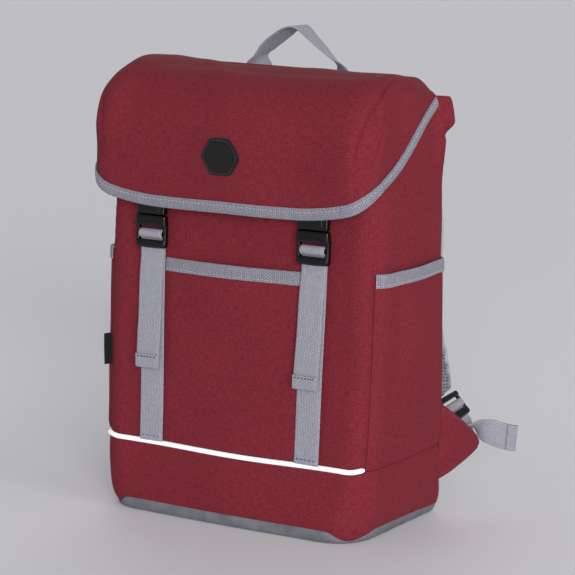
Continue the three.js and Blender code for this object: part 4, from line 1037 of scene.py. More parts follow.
class BACKPACK_OT_shell(bpy.types.Operator):
    """Build the sewn walls of the bag and its grey base"""

    bl_idname = "backpack.shell"
    bl_label = "Shell"

    def execute(self, context):
        foot = PIPING_Z + PIPING_RADIUS
        front = stretches((SEAM_LEFT, 2, 12), (2, 3, 96), (3, SEAM_RIGHT, 12))
        self.wall("front_panel", front, foot, FRONT_RIM, 120, (foot, FRONT_CALM))
        side = stretches((SEAM_RIGHT, 4, 10), (4, 5, 44), (5, SEAM_BACK, 20))
        for hand, s in (("right", side), ("left", mirrored(side))):
            rim = mix(*SIDE_RIM, step(right_hand(s), 4, 5))
            self.wall(f"side_panel_{hand}", s, PIPING_Z, rim, 130, (PIPING_Z, SIDE_CALM), RIM_LIP)
        self.band()
        back = stretches((SEAM_BACK, 6, 14), (6, 7, 60), (7, SEAM_BACK_LEFT, 14))
        below_lid = lid_top(body(back, SIDE_RIM[1])[..., 0], LID_REAR) - LID_WALL - GAP
        rim = np.maximum(below_lid, BACK_RIM)
        self.wall("back_panel", back, base_seam(back) + GAP, rim, 130, (BACK_FOOT, BACK_CALM))
        self.base()
        return {"FINISHED"}

    def wall(self, name, s, low, high, rows, slack_ends, lip=0):
        """Sewn wall: even steps of height from low to high at each place, moved out by its slack, with its
        rim turned in by the lip."""
        s = s[None]
        z = mix(low + 0 * s, high, np.linspace(0, 1, rows)[:, None])
        points = body(s, z, wall_slack(s, z, *slack_ends))
        if lip:
            points = np.concatenate([points, self.turned_rim(s, z[-1:], points[-1:], lip)])
        make_piece(name + "_cloth", [slab(points, CLOTH)], ["cloth"], name)

    def turned_rim(self, s, z, rim, lip):
        """Cloth turned in at a side's rim: straight to the inside of the collar, then up to just below the
        lid and the back panel at the rear corner."""
        place = right_hand(s)
        seam = body(SEAM_BACK, np.linspace(BACK_RIM, SIDE_RIM[1], 14))
        deep = collar(s, z) + mix(lip, 2.5, step(place, 5.1, SEAM_BACK))
        raised = body(s, z, -deep)
        inner = raised - [0, 0, 0.3 * lip]
        x, y = raised[..., 0], raised[..., 1]
        below_lid = lid_top(x, np.minimum(y, LID_REAR)) - 2.5
        below_back = np.interp(y, seam[:, 1], seam[:, 2]) - 0.5
        roof = np.minimum(below_lid, below_back)
        raised[..., 2] = mix(inner[..., 2], roof, step(place, 4.45, 4.75))
        shares = np.linspace(0, 1, 7)[1:, None, None]
        return np.concatenate([mix(rim, inner, shares), mix(inner, raised, shares)])

    def band(self):
        """Band below the piping: it swells between its seams by a power of a sine, with slow rumples and a
        tuck under the piping."""
        front_cells = 90
        half = stretches((2 * MIDDLE - SEAM_BACK, 0, 18), (0, 1, 40), (1, 2, 22), (2, 3, front_cells))
        s = np.concatenate([half, mirrored(half)[front_cells + 1 :]])[None]
        piped = step(s, SEAM_LEFT - 0.02, SEAM_LEFT) * (1 - step(s, SEAM_RIGHT, SEAM_RIGHT + 0.02))
        top = PIPING_Z - GAP - piped * (PIPING_RADIUS - PIPING_PROUD)
        share = np.linspace(0, 1, 34)[:, None]
        z = mix(base_seam(s) + GAP, top, share)
        arch = np.sin(np.pi * share)
        rumples = 0.7 * rumple(body(s, z)[..., 0], z, 70, 31) * arch
        tuck = bump(z, top, 3) * (1 - step(right_hand(s), *TUCK_FADE))
        points = body(s, z, rumples - tuck + 1.4 * arch**0.6)
        make_piece("lower_band_cloth", [slab(points, CLOTH)], ["cloth"], "lower_band")

    def base(self):
        """Tray of the base: rings of the outline from the middle of the floor, up the outside to the seam
        and down inside to the middle again."""
        s = np.linspace(0, RUNS, 241)
        floor, seam = body(s, 0 * s), base_seam(s)
        steps = ((0, 3.0), (0.06, 1.0), (0.2, 0.2), (0.5, -0.4), (0.8, -0.3), (1, 0.4), (1, 2.0))
        under = [floor * [share, share, 0] for share in (0, 0.3, 0.6, 0.85)]
        outside = [body(s, seam * lift, -inset) for lift, inset in steps]
        inside = [floor * [share, share, 0] + BASE_THICK * UP for share in (0.96, 0.6, 0.3, 0)]
        rings = np.stack([*under, *outside, *inside])
        make_piece("base_tray_cloth", [shape(rings)], ["base"], "base_panel")


class BACKPACK_OT_lid(bpy.types.Operator):
    """Build the hooded lid with its bound edge, rolled seam and six-sided patch"""

    bl_idname = "backpack.lid"
    bl_label = "Lid"

    def execute(self, context):
        sizes = context.scene.backpack_sizes
        s = stretches((0, 1, 44), (1, 2, 34), (2, 3, 96), (3, 4, 34), (4, 5, 44))
        v = stretches((0, TOP_SHARE, 26), (TOP_SHARE, ROUND_SHARE, 44), (ROUND_SHARE, 1, 26))
        points = soft_lid(s[None, :], v[:, None])
        make_piece("lid_cloth", [slab(points[::-1], LID_WALL)], ["cloth"], "lid_flap")
        self.binding(sizes)
        self.ridge()
        self.patch(sizes)
        return {"FINISHED"}

    def binding(self, sizes):
        """Tape folded over the free edge: a U of two straight legs and a half round, carried along it."""
        s = stretches((0, 1, 60), (1, 2, 40), (2, 3, 110), (3, 4, 40), (4, 5, 60))
        edge = soft_lid(s, np.ones_like(s))
        along = unit(np.gradient(edge, axis=0))
        out = lid_normal(s, np.full_like(s, 0.995))
        up = unit(np.cross(out, along))
        thick, width = sizes.tape_thickness / MM, sizes.tape_width / MM
        inner, outer = -LID_WALL - GAP, GAP + thick
        radius = (outer - inner) / 2
        turn = np.linspace(-np.pi / 2, np.pi / 2, 9)
        low, high, seam = radius - 1.5, width - 1.4, width - 4.6
        fold_up = low - radius * np.cos(turn)
        fold_out = (outer + inner) / 2 + radius * np.sin(turn)
        leg = np.linspace(low, high, 17)[1:]
        puff = outer + 0.5 * np.sin(np.pi * (leg - low) / (high - low)) - 0.55 * bump(leg, seam, 0.9)
        ups = np.concatenate([[7, 4.5], fold_up, leg])
        outs = np.concatenate([[inner] * 2, fold_out, puff])
        points = edge[None] + up[None] * ups[:, None, None] + out[None] * outs[:, None, None]
        tape = slab(points, thick)
        row = edge + up * seam + out * (outer + 0.15)
        sewn = stitches(row, out, pitch=sizes.stitch_pitch / MM)
        make_piece("lid_edge_tape", [tape, sewn], ["tape", "thread"], "flap_binding")

    def ridge(self):
        """Rolled seam on the top near the rear: a bead that thins out to its right end."""
        x = np.linspace(RIDGE_LEFT, RIDGE_RIGHT, 90)
        y = LID_REAR - RIDGE_IN + 0.6 * np.sin(x / 23)
        place = (x / RIDGE_SPAN + 1) * MIDDLE
        thin = 1 - 0.6 * step(x, 10, RIDGE_RIGHT)
        radius = RIDGE_RADIUS * thin * (1 - 0.5 * (1 - step(x, RIDGE_LEFT, RIDGE_LEFT + 12)))
        sink = lid_slack(place, np.full_like(x, 0.03))
        centre = np.column_stack([x, y, lid_top(x, y) + sink + 0.5 * radius])
        ring = round_profile(1, 12)[None] * radius[:, None, None]
        ones = np.ones((len(x), 1))
        bead = carried(centre, ones * [0, -1, 0], ones * UP, ring)
        make_piece("lid_rolled_seam_cloth", [bead], ["cloth"], "flap_ridge")

    def patch(self, sizes):
        """Six-sided patch on the lid's front: rings of a hexagon with rounded corners, laid on the lid's
        face, with a thicker sewn rim."""
        sixth, soften, sewn_ring = np.pi / 3, 1.2, 6
        rings = np.array([0.01, 0.2, 0.42, 0.6, 0.74, 0.83, 0.88, 0.93, 0.97, 0.99, 1, 0.99])
        lift = np.array([0, 0, 0, 0, 0, 0.05, 0.45, 0.6, 0.45, 0.1, -0.5, -1.2]) + PATCH_THICK
        angle = np.linspace(0, 2 * np.pi, 97)
        side = PATCH_REACH * np.cos(sixth / 2) / np.cos(np.mod(angle, sixth) - sixth / 2)
        reach = -soften * np.log(np.exp(-side / soften) + np.exp(-PATCH_CUT / soften))
        x = PATCH_X + rings[:, None] * reach * np.cos(angle)
        z = PATCH_Z + 0.9 * rings[:, None] * reach * np.sin(angle)
        s = lid_front_place(x)
        v = lid_share(s, z)
        face = soft_lid(s, v, np.broadcast_to(lift[:, None], s.shape))
        back = soft_lid(s[::-1], v[::-1], np.full(s.shape, GAP))
        pile = shape(np.concatenate([face, back[:1], back[-1:]]))
        s, v = s[sewn_ring], v[sewn_ring]
        rim = soft_lid(s, v, np.full(s.shape, PATCH_THICK + 0.62))
        sewn = stitches(rim, lid_normal(s, v), pitch=sizes.stitch_pitch / MM * 0.8, radius=0.28)
        make_piece("lid_patch_pile", [pile, sewn], ["pile", "dark_thread"], "flap_patch")


class BACKPACK_OT_pockets(bpy.types.Operator):
    """Build the flat front pocket and the two side pockets with their bound top edges"""

    bl_idname = "backpack.pockets"
    bl_label = "Pockets"

    def execute(self, context):
        sizes = context.scene.backpack_sizes
        share, top = np.linspace(-1, 1, 60), np.full(60, FRONT_POCKET_TOP)
        front, tape = [front_place(half * share, top) for half in (FRONT_POCKET_HALF, FRONT_TAPE_HALF)]
        self.pocket("front_pocket", front, tape, FRONT_POCKET_TOP, 3, 41, sizes)
        side = stretches((SEAM_RIGHT + 0.02, 4, 10), (4, 5, 40), (5, SIDE_POCKET_END, 10))
        for hand, s, seed in (("right", side, 42), ("left", mirrored(side), 43)):
            self.pocket(f"side_pocket_{hand}", s, s, SIDE_POCKET_TOP, 2.5, seed, sizes)
        return {"FINISHED"}

    def pocket(self, name, s, tape_s, top, slack, seed, sizes):
        """Pocket wall a little off the bag, slackest in the middle of its top edge, and the edge's tape."""
        low = PIPING_Z + PIPING_RADIUS + 2 * GAP

        def lift(place, z):
            """Distance off the bag: less at the sides, more by the square of the height, with rumples."""
            share = np.clip((place - s[0]) / (s[-1] - s[0]), 0, 1)
            rise = np.clip((z - low) / (top - low), 0, 1)
            points = body(place, z)
            soft = 0.8 * rumple(points[..., 0] + 0.8 * points[..., 1], z, 75, seed)
            fade = np.sin(np.pi * share) ** 0.5 * np.sin(np.pi * rise) ** 0.5
            roll = -1.2 * bump(z, low, 3.5)
            ends = 0.25 + 0.75 * step(np.minimum(share, 1 - share), 0, 0.1)
            return (1.3 + CLOTH) * ends + slack * rise**2 * np.sin(np.pi * share) ** 2 + soft * fade + roll

        z = np.linspace(low, top, 90)[:, None]
        wall = body(s[None], z, lift(s[None], z))
        make_piece(name + "_cloth", [slab(wall, CLOTH)], ["cloth"], name)
        thick, width = sizes.tape_thickness / MM, sizes.tape_width / MM
        rows = np.linspace(top - width, top, 7)[:, None]
        bulge = 0.25 * np.sin(np.pi * np.linspace(0, 1, 7))[:, None]
        face = body(tape_s[None], rows, lift(tape_s[None], rows) + thick + 0.1 + bulge)
        away = outward(tape_s, top)
        turn = np.linspace(0, np.pi, 8)[1:]
        radius = (CLOTH + thick) / 2
        edge = face[-1] - away * radius
        over = edge[None] + away[None] * (radius * np.cos(turn))[:, None, None]
        over = over + UP * (0.8 * radius * np.sin(turn))[:, None, None]
        tape = slab(np.concatenate([face, over]), thick * 0.9)
        stitch_z = np.full_like(tape_s, top - width + 2.2)
        row = body(tape_s, stitch_z, lift(tape_s, stitch_z) + thick + 0.3)
        sewn = stitches(row, away, pitch=sizes.stitch_pitch / MM)
        binding = name.replace("pocket", "pocket_binding")
        make_piece(binding + "_tape", [tape, sewn], ["tape", "thread"], binding)


class BACKPACK_OT_trim(bpy.types.Operator):
    """Build the reflective piping in the seam above the lower band, and the plain label in the left seam"""

    bl_idname = "backpack.trim"
    bl_label = "Trim"

    def execute(self, context):
        self.piping()
        self.label()
        return {"FINISHED"}

    def piping(self):
        """Bead in the seam: a circle carried round the front, narrowed by a square root at both ends."""
        s = stretches((SEAM_LEFT + 0.01, 2, 24), (2, 3, 100), (3, SEAM_RIGHT - 0.01, 24))
        z = PIPING_Z + 1.6 * step(s, 3.2, SEAM_RIGHT) + 0.25 * np.sin(s * 9)
        out = outward(s, z)
        ends = np.minimum(s - s[0], s[-1] - s) * CORNER_RUN
        radius = PIPING_RADIUS * np.sqrt(np.clip(0.25 + ends / 2.5, 0, 1))
        ring = round_profile(1, 14)[None] * radius[:, None, None]
        bead = carried(body(s, z, PIPING_PROUD), out * 0 + UP, out, ring)
        make_piece("reflective_piping_bead", [bead], ["reflector"], "reflective_piping")

    def label(self):
        """Folded label: a hairpin of two layers round a small fold, carried straight up the seam."""
        rows = 24
        root = body(SEAM_LEFT + 0.06, LABEL_LOW, GAP)
        reach = outward(SEAM_LEFT + 0.35, LABEL_LOW)
        side = np.cross(reach, UP)
        turn = np.linspace(np.pi / 2, -np.pi / 2, 9)
        fold = np.column_stack([LABEL_REACH + LABEL_FOLD * np.cos(turn), LABEL_FOLD * np.sin(turn)])
        layer = np.array([[0, LABEL_FOLD], [2.5, 0.85], [5, 0.8]])
        hairpin = np.concatenate([layer, fold, layer[::-1] * [1, -1]])
        z = np.linspace(LABEL_LOW, LABEL_HIGH, rows)
        curl = 0.35 * np.sin(np.pi * (z - LABEL_LOW) / (LABEL_HIGH - LABEL_LOW))
        centres = np.column_stack([np.tile(root[:2], (rows, 1)), z]) + side * curl[:, None]
        ones = np.ones((rows, 1))
        label = carried(centres, ones * reach, ones * side, hairpin)
        make_piece("side_label_weave", [label], ["pile"], "side_label")


def strap_x(z):
    """Distance of a closing strap from the middle: it closes in a little towards its foot."""
    return mix(STRAP_FOOT_X, STRAP_X, np.clip((z - STRAP_START) / (BUCKLE_Z - STRAP_START), 0, 1))


def strap_point(sign, z, off):
    """Point in front of the bag's face on a closing strap's line."""
    z = np.asarray(z, float)
    x = sign * strap_x(z)
    return np.stack([x, body(front_place(x, z), z)[..., 1] - off, z], -1)


def buckle_axes(sign):
    """Origin and directions (across, up, out) of a closing buckle."""
    origin = strap_point(sign, BUCKLE_Z, STRAP_LIFT)
    up = unit(strap_point(sign, BUCKLE_Z + PLUG_TOP, STRAP_LIFT) - origin)
    across = np.array([1.0, 0, 0])
    return origin, across, up, np.cross(across, up)


def ladder_path():
    """Webbing through a ladder as (length, out) pairs: round the middle bar on an arc, then down between
    the bars and out behind the lower bar, on top of itself."""
    turn = np.radians(np.linspace(0, 235, 22))
    arc = np.column_stack([BAR_AT + BAR_OUT * np.sin(turn), BAR_OUT * (1 - np.cos(turn))])
    return np.concatenate([arc, [(9, 3.2), (7.4, 2.2), (4.8, DOUBLED), (2, DOUBLED), (-1, DOUBLED)]])


class BACKPACK_OT_closing_straps(bpy.types.Operator):
    """Build the two closing straps of webbing with their loose hemmed tails, and the buckles' hangers"""

    bl_idname = "backpack.closing_straps"
    bl_label = "Closing straps"

    def execute(self, context):
        sizes = context.scene.backpack_sizes
        width, thick = sizes.webbing_width / MM, sizes.webbing_thickness / MM
        for hand, sign in HANDS:
            origin, across, up, out = buckle_axes(sign)
            local = lambda pairs: origin + np.outer(pairs[:, 0], up) + np.outer(pairs[:, 1], out)
            self.strap(f"front_strap_{hand}", sign, width, thick, local, across, out)
            self.hanger(f"buckle_hanger_{hand}", sign, width - 1, thick, local, across)
        return {"FINISHED"}

    def strap(self, name, sign, width, thick, local, across, out):
        """Webbing from the piping up to the buckle, through its ladder and down as a tail that stands off by
        a sine, turned up at its end in a hem on a half circle."""
        z = np.linspace(STRAP_START - 1, STRAP_TURN, 60)
        fixed = strap_point(sign, z, STRAP_LIFT + 0.25 * np.sin(z / 21 + sign))
        tail_z = np.linspace(TAIL_START, TAIL_END + 2, 44)
        hang = (TAIL_START - tail_z) / (TAIL_START - TAIL_END)
        off = STRAP_LIFT + DOUBLED
        tail = strap_point(sign, tail_z, off + TAIL_OFF * np.sin(hang * np.pi / 2) + 0.5 * np.sin(hang * 9))
        off = off + TAIL_OFF + 0.2 + 0.5 * np.sin(9)
        turn = np.linspace(0, np.pi, 8)
        fold = strap_point(sign, TAIL_END - 0.9 * np.sin(turn), off + 0.9 * (1 - np.cos(turn)))
        hem_z = np.linspace(TAIL_END + 2, TAIL_END + HEM, 6)
        hem = strap_point(sign, hem_z, off + 1.8 + 0.05 * (hem_z - TAIL_END))
        path = np.concatenate([fixed, local(ladder_path()), tail, fold, hem])
        band = ribbon(path, np.broadcast_to(across, path.shape), width, thick)
        span = np.linspace(-width / 2 + 1.5, width / 2 - 1.5, 12)
        level = lambda height, away: strap_point(sign, np.full(12, height), away) + across * span[:, None]
        hem_row = level(TAIL_END + HEM - 2, off + 2.3 + thick / 2)
        foot_row = level(STRAP_START + 3.5, STRAP_LIFT + thick / 2)
        facing = np.tile(out, (12, 1))
        sewn = [stitches(hem_row, facing, pitch=3.6, length=2.6, radius=0.5), stitches(foot_row, facing)]
        make_piece(name + "_webbing", [band, *sewn], ["webbing", "dark_thread"], name)

    def hanger(self, name, sign, width, thick, local, across):
        """Short webbing from the inside of the lid round the socket's bar on a half circle and up again."""
        place = np.repeat(lid_front_place(np.array([sign * STRAP_X])), 2)
        heights = local(np.array([(86.0, 0), (78.0, 0)]))[:, 2]
        inside = soft_lid(place, lid_share(place, heights), np.full(2, -LID_WALL - 1.9))
        inside[:, 0] = sign * STRAP_X
        turn = np.linspace(0, np.pi, 12)
        around = HANGER_TURN * np.column_stack([-np.sin(turn), np.cos(turn)])
        wrap = local(around + [SOCKET_BAR_AT, SOCKET_BAR_OUT])
        rear = local(np.array([(62.0, 2.3)]))
        path = spline(np.concatenate([inside, wrap, rear]), 40)
        band = ribbon(path, np.broadcast_to(across, path.shape), width, thick)
        make_piece(name + "_webbing", [band], ["webbing"], name)


def cross_bar(half, at, out, radius, sides, axes):
    """Round bar of a buckle: a polygon carried straight across at a length and a distance out."""
    x = np.linspace(-half, half, 9)
    ones = np.ones((9, 1))
    centres = np.column_stack([x, 0 * x + at, 0 * x + out])
    return placed(carried(centres, ones * [0, 1, 0], ones * UP, round_profile(radius, sides)), axes)


def ladder_shapes(half, length, front, axes):
    """Ladder end of a buckle or adjuster: a rounded frame, a raised lower bar, a round middle bar and the
    plate or top bar that closes it."""
    window = (SLOT_HALF, 0, 6, 20.5, 1.2, 1.2, 0, 0)
    rim = (half, 0, 0, 24.5, 3.2, 1.5, 0.4, 0)
    lower = (half - 0.4, 0, 0.2, 7.4, 2.6, 1.4, 0.2, 0)
    upper = (half - 0.2, 0, 19.6, length, 1.4, 2.4, 0, 0)
    return [
        ring_frame(rim, window, 1.2, front - 1.8, 1.2, axes=axes),
        pillow(lower, 3.3, front - 0.8, 1.7, axes=axes),
        pillow(upper, 1.2, front, 1.8, axes=axes),
        cross_bar(half - 1.5, BAR_AT, BAR_OUT, BAR_RADIUS, 14, axes),
    ]


def socket_shapes(axes):
    """Socket half: a rounded body with a raised middle, two arms and a round bar for its hanger."""
    return [
        pillow((15, 0, 30.4, 42.5, 1.6, 1.2, 0, 0), 1.2, 7.6, 1.3, axes=axes),
        pillow((10, 0, 31.6, 41, 2, 2, 0, 0), 3, 8, 0.9, axes=axes),
        pillow((1, -14, 40, 52, 0.9, 0.9, 0, 0), 1.2, 7.6, 0.8, axes=axes),
        pillow((1, 14, 40, 52, 0.9, 0.9, 0, 0), 1.2, 7.6, 0.8, axes=axes),
        cross_bar(14.2, SOCKET_BAR_AT, SOCKET_BAR_OUT, SOCKET_BAR_RADIUS, 12, axes),
    ]


def lock_axes(sign):
    """Origin and directions of a shoulder strap's adjuster, which leans from the strap's end to the tab."""
    flip = np.array([sign, 1, 1])
    top, anchor = flip * LOCK_TOP, flip * (np.array(TAB_TIP) - [TAB_THICK, 0, 0])
    up = unit(top - anchor)
    across = flip * [LOCK_LEAN, 1, 0]
    across = sign * unit(across - up * (across @ up))
    return top - up * LOCK_LENGTH, across, up, np.cross(across, up)


class BACKPACK_OT_buckles(bpy.types.Operator):
    """Mould the two closing buckles and the two strap adjusters"""

    bl_idname = "backpack.buckles"
    bl_label = "Buckles"

    def execute(self, context):
        for hand, sign in HANDS:
            closing, adjusting = buckle_axes(sign), lock_axes(sign)
            moulded = {
                f"buckle_plug_{hand}": ladder_shapes(PLUG_HALF, PLUG_TOP, 8, closing),
                f"buckle_socket_{hand}": socket_shapes(closing),
                f"ladder_lock_{hand}": ladder_shapes(LOCK_HALF, LOCK_LENGTH, 7, adjusting),
            }
            for name, shapes in moulded.items():
                make_piece(name + "_moulding", shapes, ["plastic"], name, MOULDED_EDGE)
        return {"FINISHED"}


def pad_rings(sign, scale):
    """Sections of a shoulder strap: rounded rectangles of its width and thickness, square to its line."""
    rows = spline(SHOULDER_ROWS, 80)
    centres = rows[:, :3] * [sign, 1, 1]
    along = unit(np.gradient(centres, axis=0))
    along[0] = (0, 1, 0)
    turn = np.radians(rows[:, 5:6])
    across = np.concatenate([sign * np.cos(turn), np.sin(turn), 0 * turn], 1)
    across = sign * unit(across - along * (across * along).sum(-1, keepdims=True))
    half, thick = rows[:, 3:4] / 2, rows[:, 4:5] / 2 * scale
    zero, round_edge = 0 * half, 0.84 * thick
    section = (half, zero, -thick, thick, round_edge, round_edge, zero, zero)
    u, v = outline(section, np.linspace(0, RUNS, 41)[None])
    return centres, across, np.cross(along, across), np.stack([u, v], -1)[:, :-1]


class BACKPACK_OT_padding(bpy.types.Operator):
    """Fill the padded back and shoulder straps by a cloth simulation with pressure inside"""

    bl_idname = "backpack.padding"
    bl_label = "Padding"

    def execute(self, context):
        sizes = context.scene.backpack_sizes
        back = self.swollen("back_pad_mesh", self.back_shape(), sizes, lambda co: co[:, 1] < PAD_SEWN_Y * MM)
        settle(back, ["mesh"], "back_pad")
        self.channels(back)
        self.edging(back, self.back_share(self.places(back.data) / MM))
        for hand, sign in HANDS:
            rings = carried(*pad_rings(sign, STRAP_SLIM))
            strap = self.swollen(f"shoulder_strap_{hand}_mesh", rings, sizes, self.strap_held)
            settle(strap, ["mesh"], f"shoulder_strap_{hand}")
            self.edging(strap, self.strap_share(self.places(strap.data) / MM, sign))
        return {"FINISHED"}

    def back_shape(self):
        """Pad for the back: an outline with drawn-in sides, rounded over at its outer edge."""
        s = np.linspace(0, RUNS, 161)
        rings = []
        for share, inset, y in PAD_RINGS:
            x, z = outline(PAD_OUTLINE, s, inset)
            rings.append(np.column_stack([x * share, 0 * x + y, PAD_MIDDLE + (z - PAD_MIDDLE) * share]))
        return shape(np.stack(rings))

    def back_share(self, points):
        """Nearness of points to the back pad's edge: 1 at the edge, and less by their distance inside it."""
        half, _, low, high = PAD_OUTLINE[:4]
        x, _, z = points.T
        return 1 - np.min([half - np.abs(x), z - low, high - z], axis=0) / PAD_EDGING

    def strap_held(self, co):
        """Points of a shoulder strap that are sewn down, at its root on the bag and at its lower end."""
        _, y, z = co.T / MM
        return (z > ROOT_SEWN_Z) & (y < ROOT_SEWN_Y) | (z < END_SEWN_Z)

    def strap_share(self, points, sign):
        """Distance of points from a shoulder strap's middle line, as a share of its half width there."""
        centres, across, _, section = pad_rings(sign, 1)
        near = np.linalg.norm(points[:, None] - centres, axis=-1).argmin(axis=1)
        aside = np.abs(((points - centres[near]) * across[near]).sum(-1))
        return aside / section[..., 0].max(axis=1)[near] / 0.96

    def swollen(self, name, made, sizes, held):
        """Remeshes a closed shape into even cells, lets cloth with pressure inside swell it for twenty
        frames, and caps how far each point may move."""
        points, faces, _, _ = made
        mesh = bpy.data.meshes.new(name)
        mesh.from_pydata((points * MM).tolist(), [], outwards(points, faces))
        weld(mesh)
        thing = bpy.data.objects.new(name, mesh)
        scene = bpy.context.scene
        scene.collection.objects.link(thing)
        remesh = thing.modifiers.new("even_cells", "REMESH")
        remesh.mode, remesh.voxel_size = "VOXEL", sizes.pad_voxel
        self.freeze(thing)
        rest = self.places(thing.data)
        frames = 20
        group = thing.vertex_groups.new(name="sewn")
        group.add(np.flatnonzero(held(rest)).tolist(), 1.0, "REPLACE")
        cloth = thing.modifiers.new("swell", "CLOTH")
        cloth.settings.use_pressure = True
        cloth.settings.uniform_pressure_force = 4
        cloth.settings.effector_weights.gravity = 0
        cloth.settings.vertex_group_mass = group.name
        cloth.settings.quality = 5
        cloth.point_cache.frame_start, cloth.point_cache.frame_end = 1, frames
        for number in range(1, frames + 1):
            scene.frame_set(number)
        self.freeze(thing)
        scene.frame_set(1)
        thing.vertex_groups.clear()
        move = self.places(thing.data) - rest
        reach = np.linalg.norm(move, axis=1, keepdims=True)
        move = move * np.minimum(1, sizes.pad_swell / np.maximum(reach, 1e-9))
        thing.data.vertices.foreach_set("co", (rest + move).astype(np.float32).ravel())
        thing.data.shade_smooth()
        smooth = thing.modifiers.new("soft", "SUBSURF")
        smooth.levels = smooth.render_levels = 1
        return thing

    def places(self, mesh):
        """Points of a mesh as an array."""
        co = np.zeros(len(mesh.vertices) * 3, np.float32)
        mesh.vertices.foreach_get("co", co)
        return co.reshape(-1, 3).astype(float)

    def freeze(self, thing):
        """Applies an object's modifiers to its mesh."""
        ready = thing.evaluated_get(bpy.context.evaluated_depsgraph_get())
        mesh = bpy.data.meshes.new_from_object(ready)
        thing.modifiers.clear()
        old, thing.data = thing.data, mesh
        mesh.name = thing.name
        bpy.data.meshes.remove(old)

    def edging(self, thing, share):
        """Marks the bound edge of a padded piece by a smooth step of a share that is 1 at the edge."""
        layer = thing.data.attributes.new(EDGING, "FLOAT", "POINT")
        layer.data.foreach_set("value", step(share, 0.88, 0.93).astype(np.float32))

    def channels(self, thing):
        """Presses sewn channels into the pad's outer face: one upright in the middle and three level ones."""
        co = self.places(thing.data)
        x, y, z = (co / MM).T
        outer = step(y, 82, 85)
        groove = 5.0 * bump(x, 0, 7)
        for level in PAD_CHANNELS:
            groove = np.maximum(groove, 3.2 * bump(z, level, 4))
        co[:, 1] -= groove * outer * MM
        thing.data.vertices.foreach_set("co", co.astype(np.float32).ravel())
        thing.data.update()


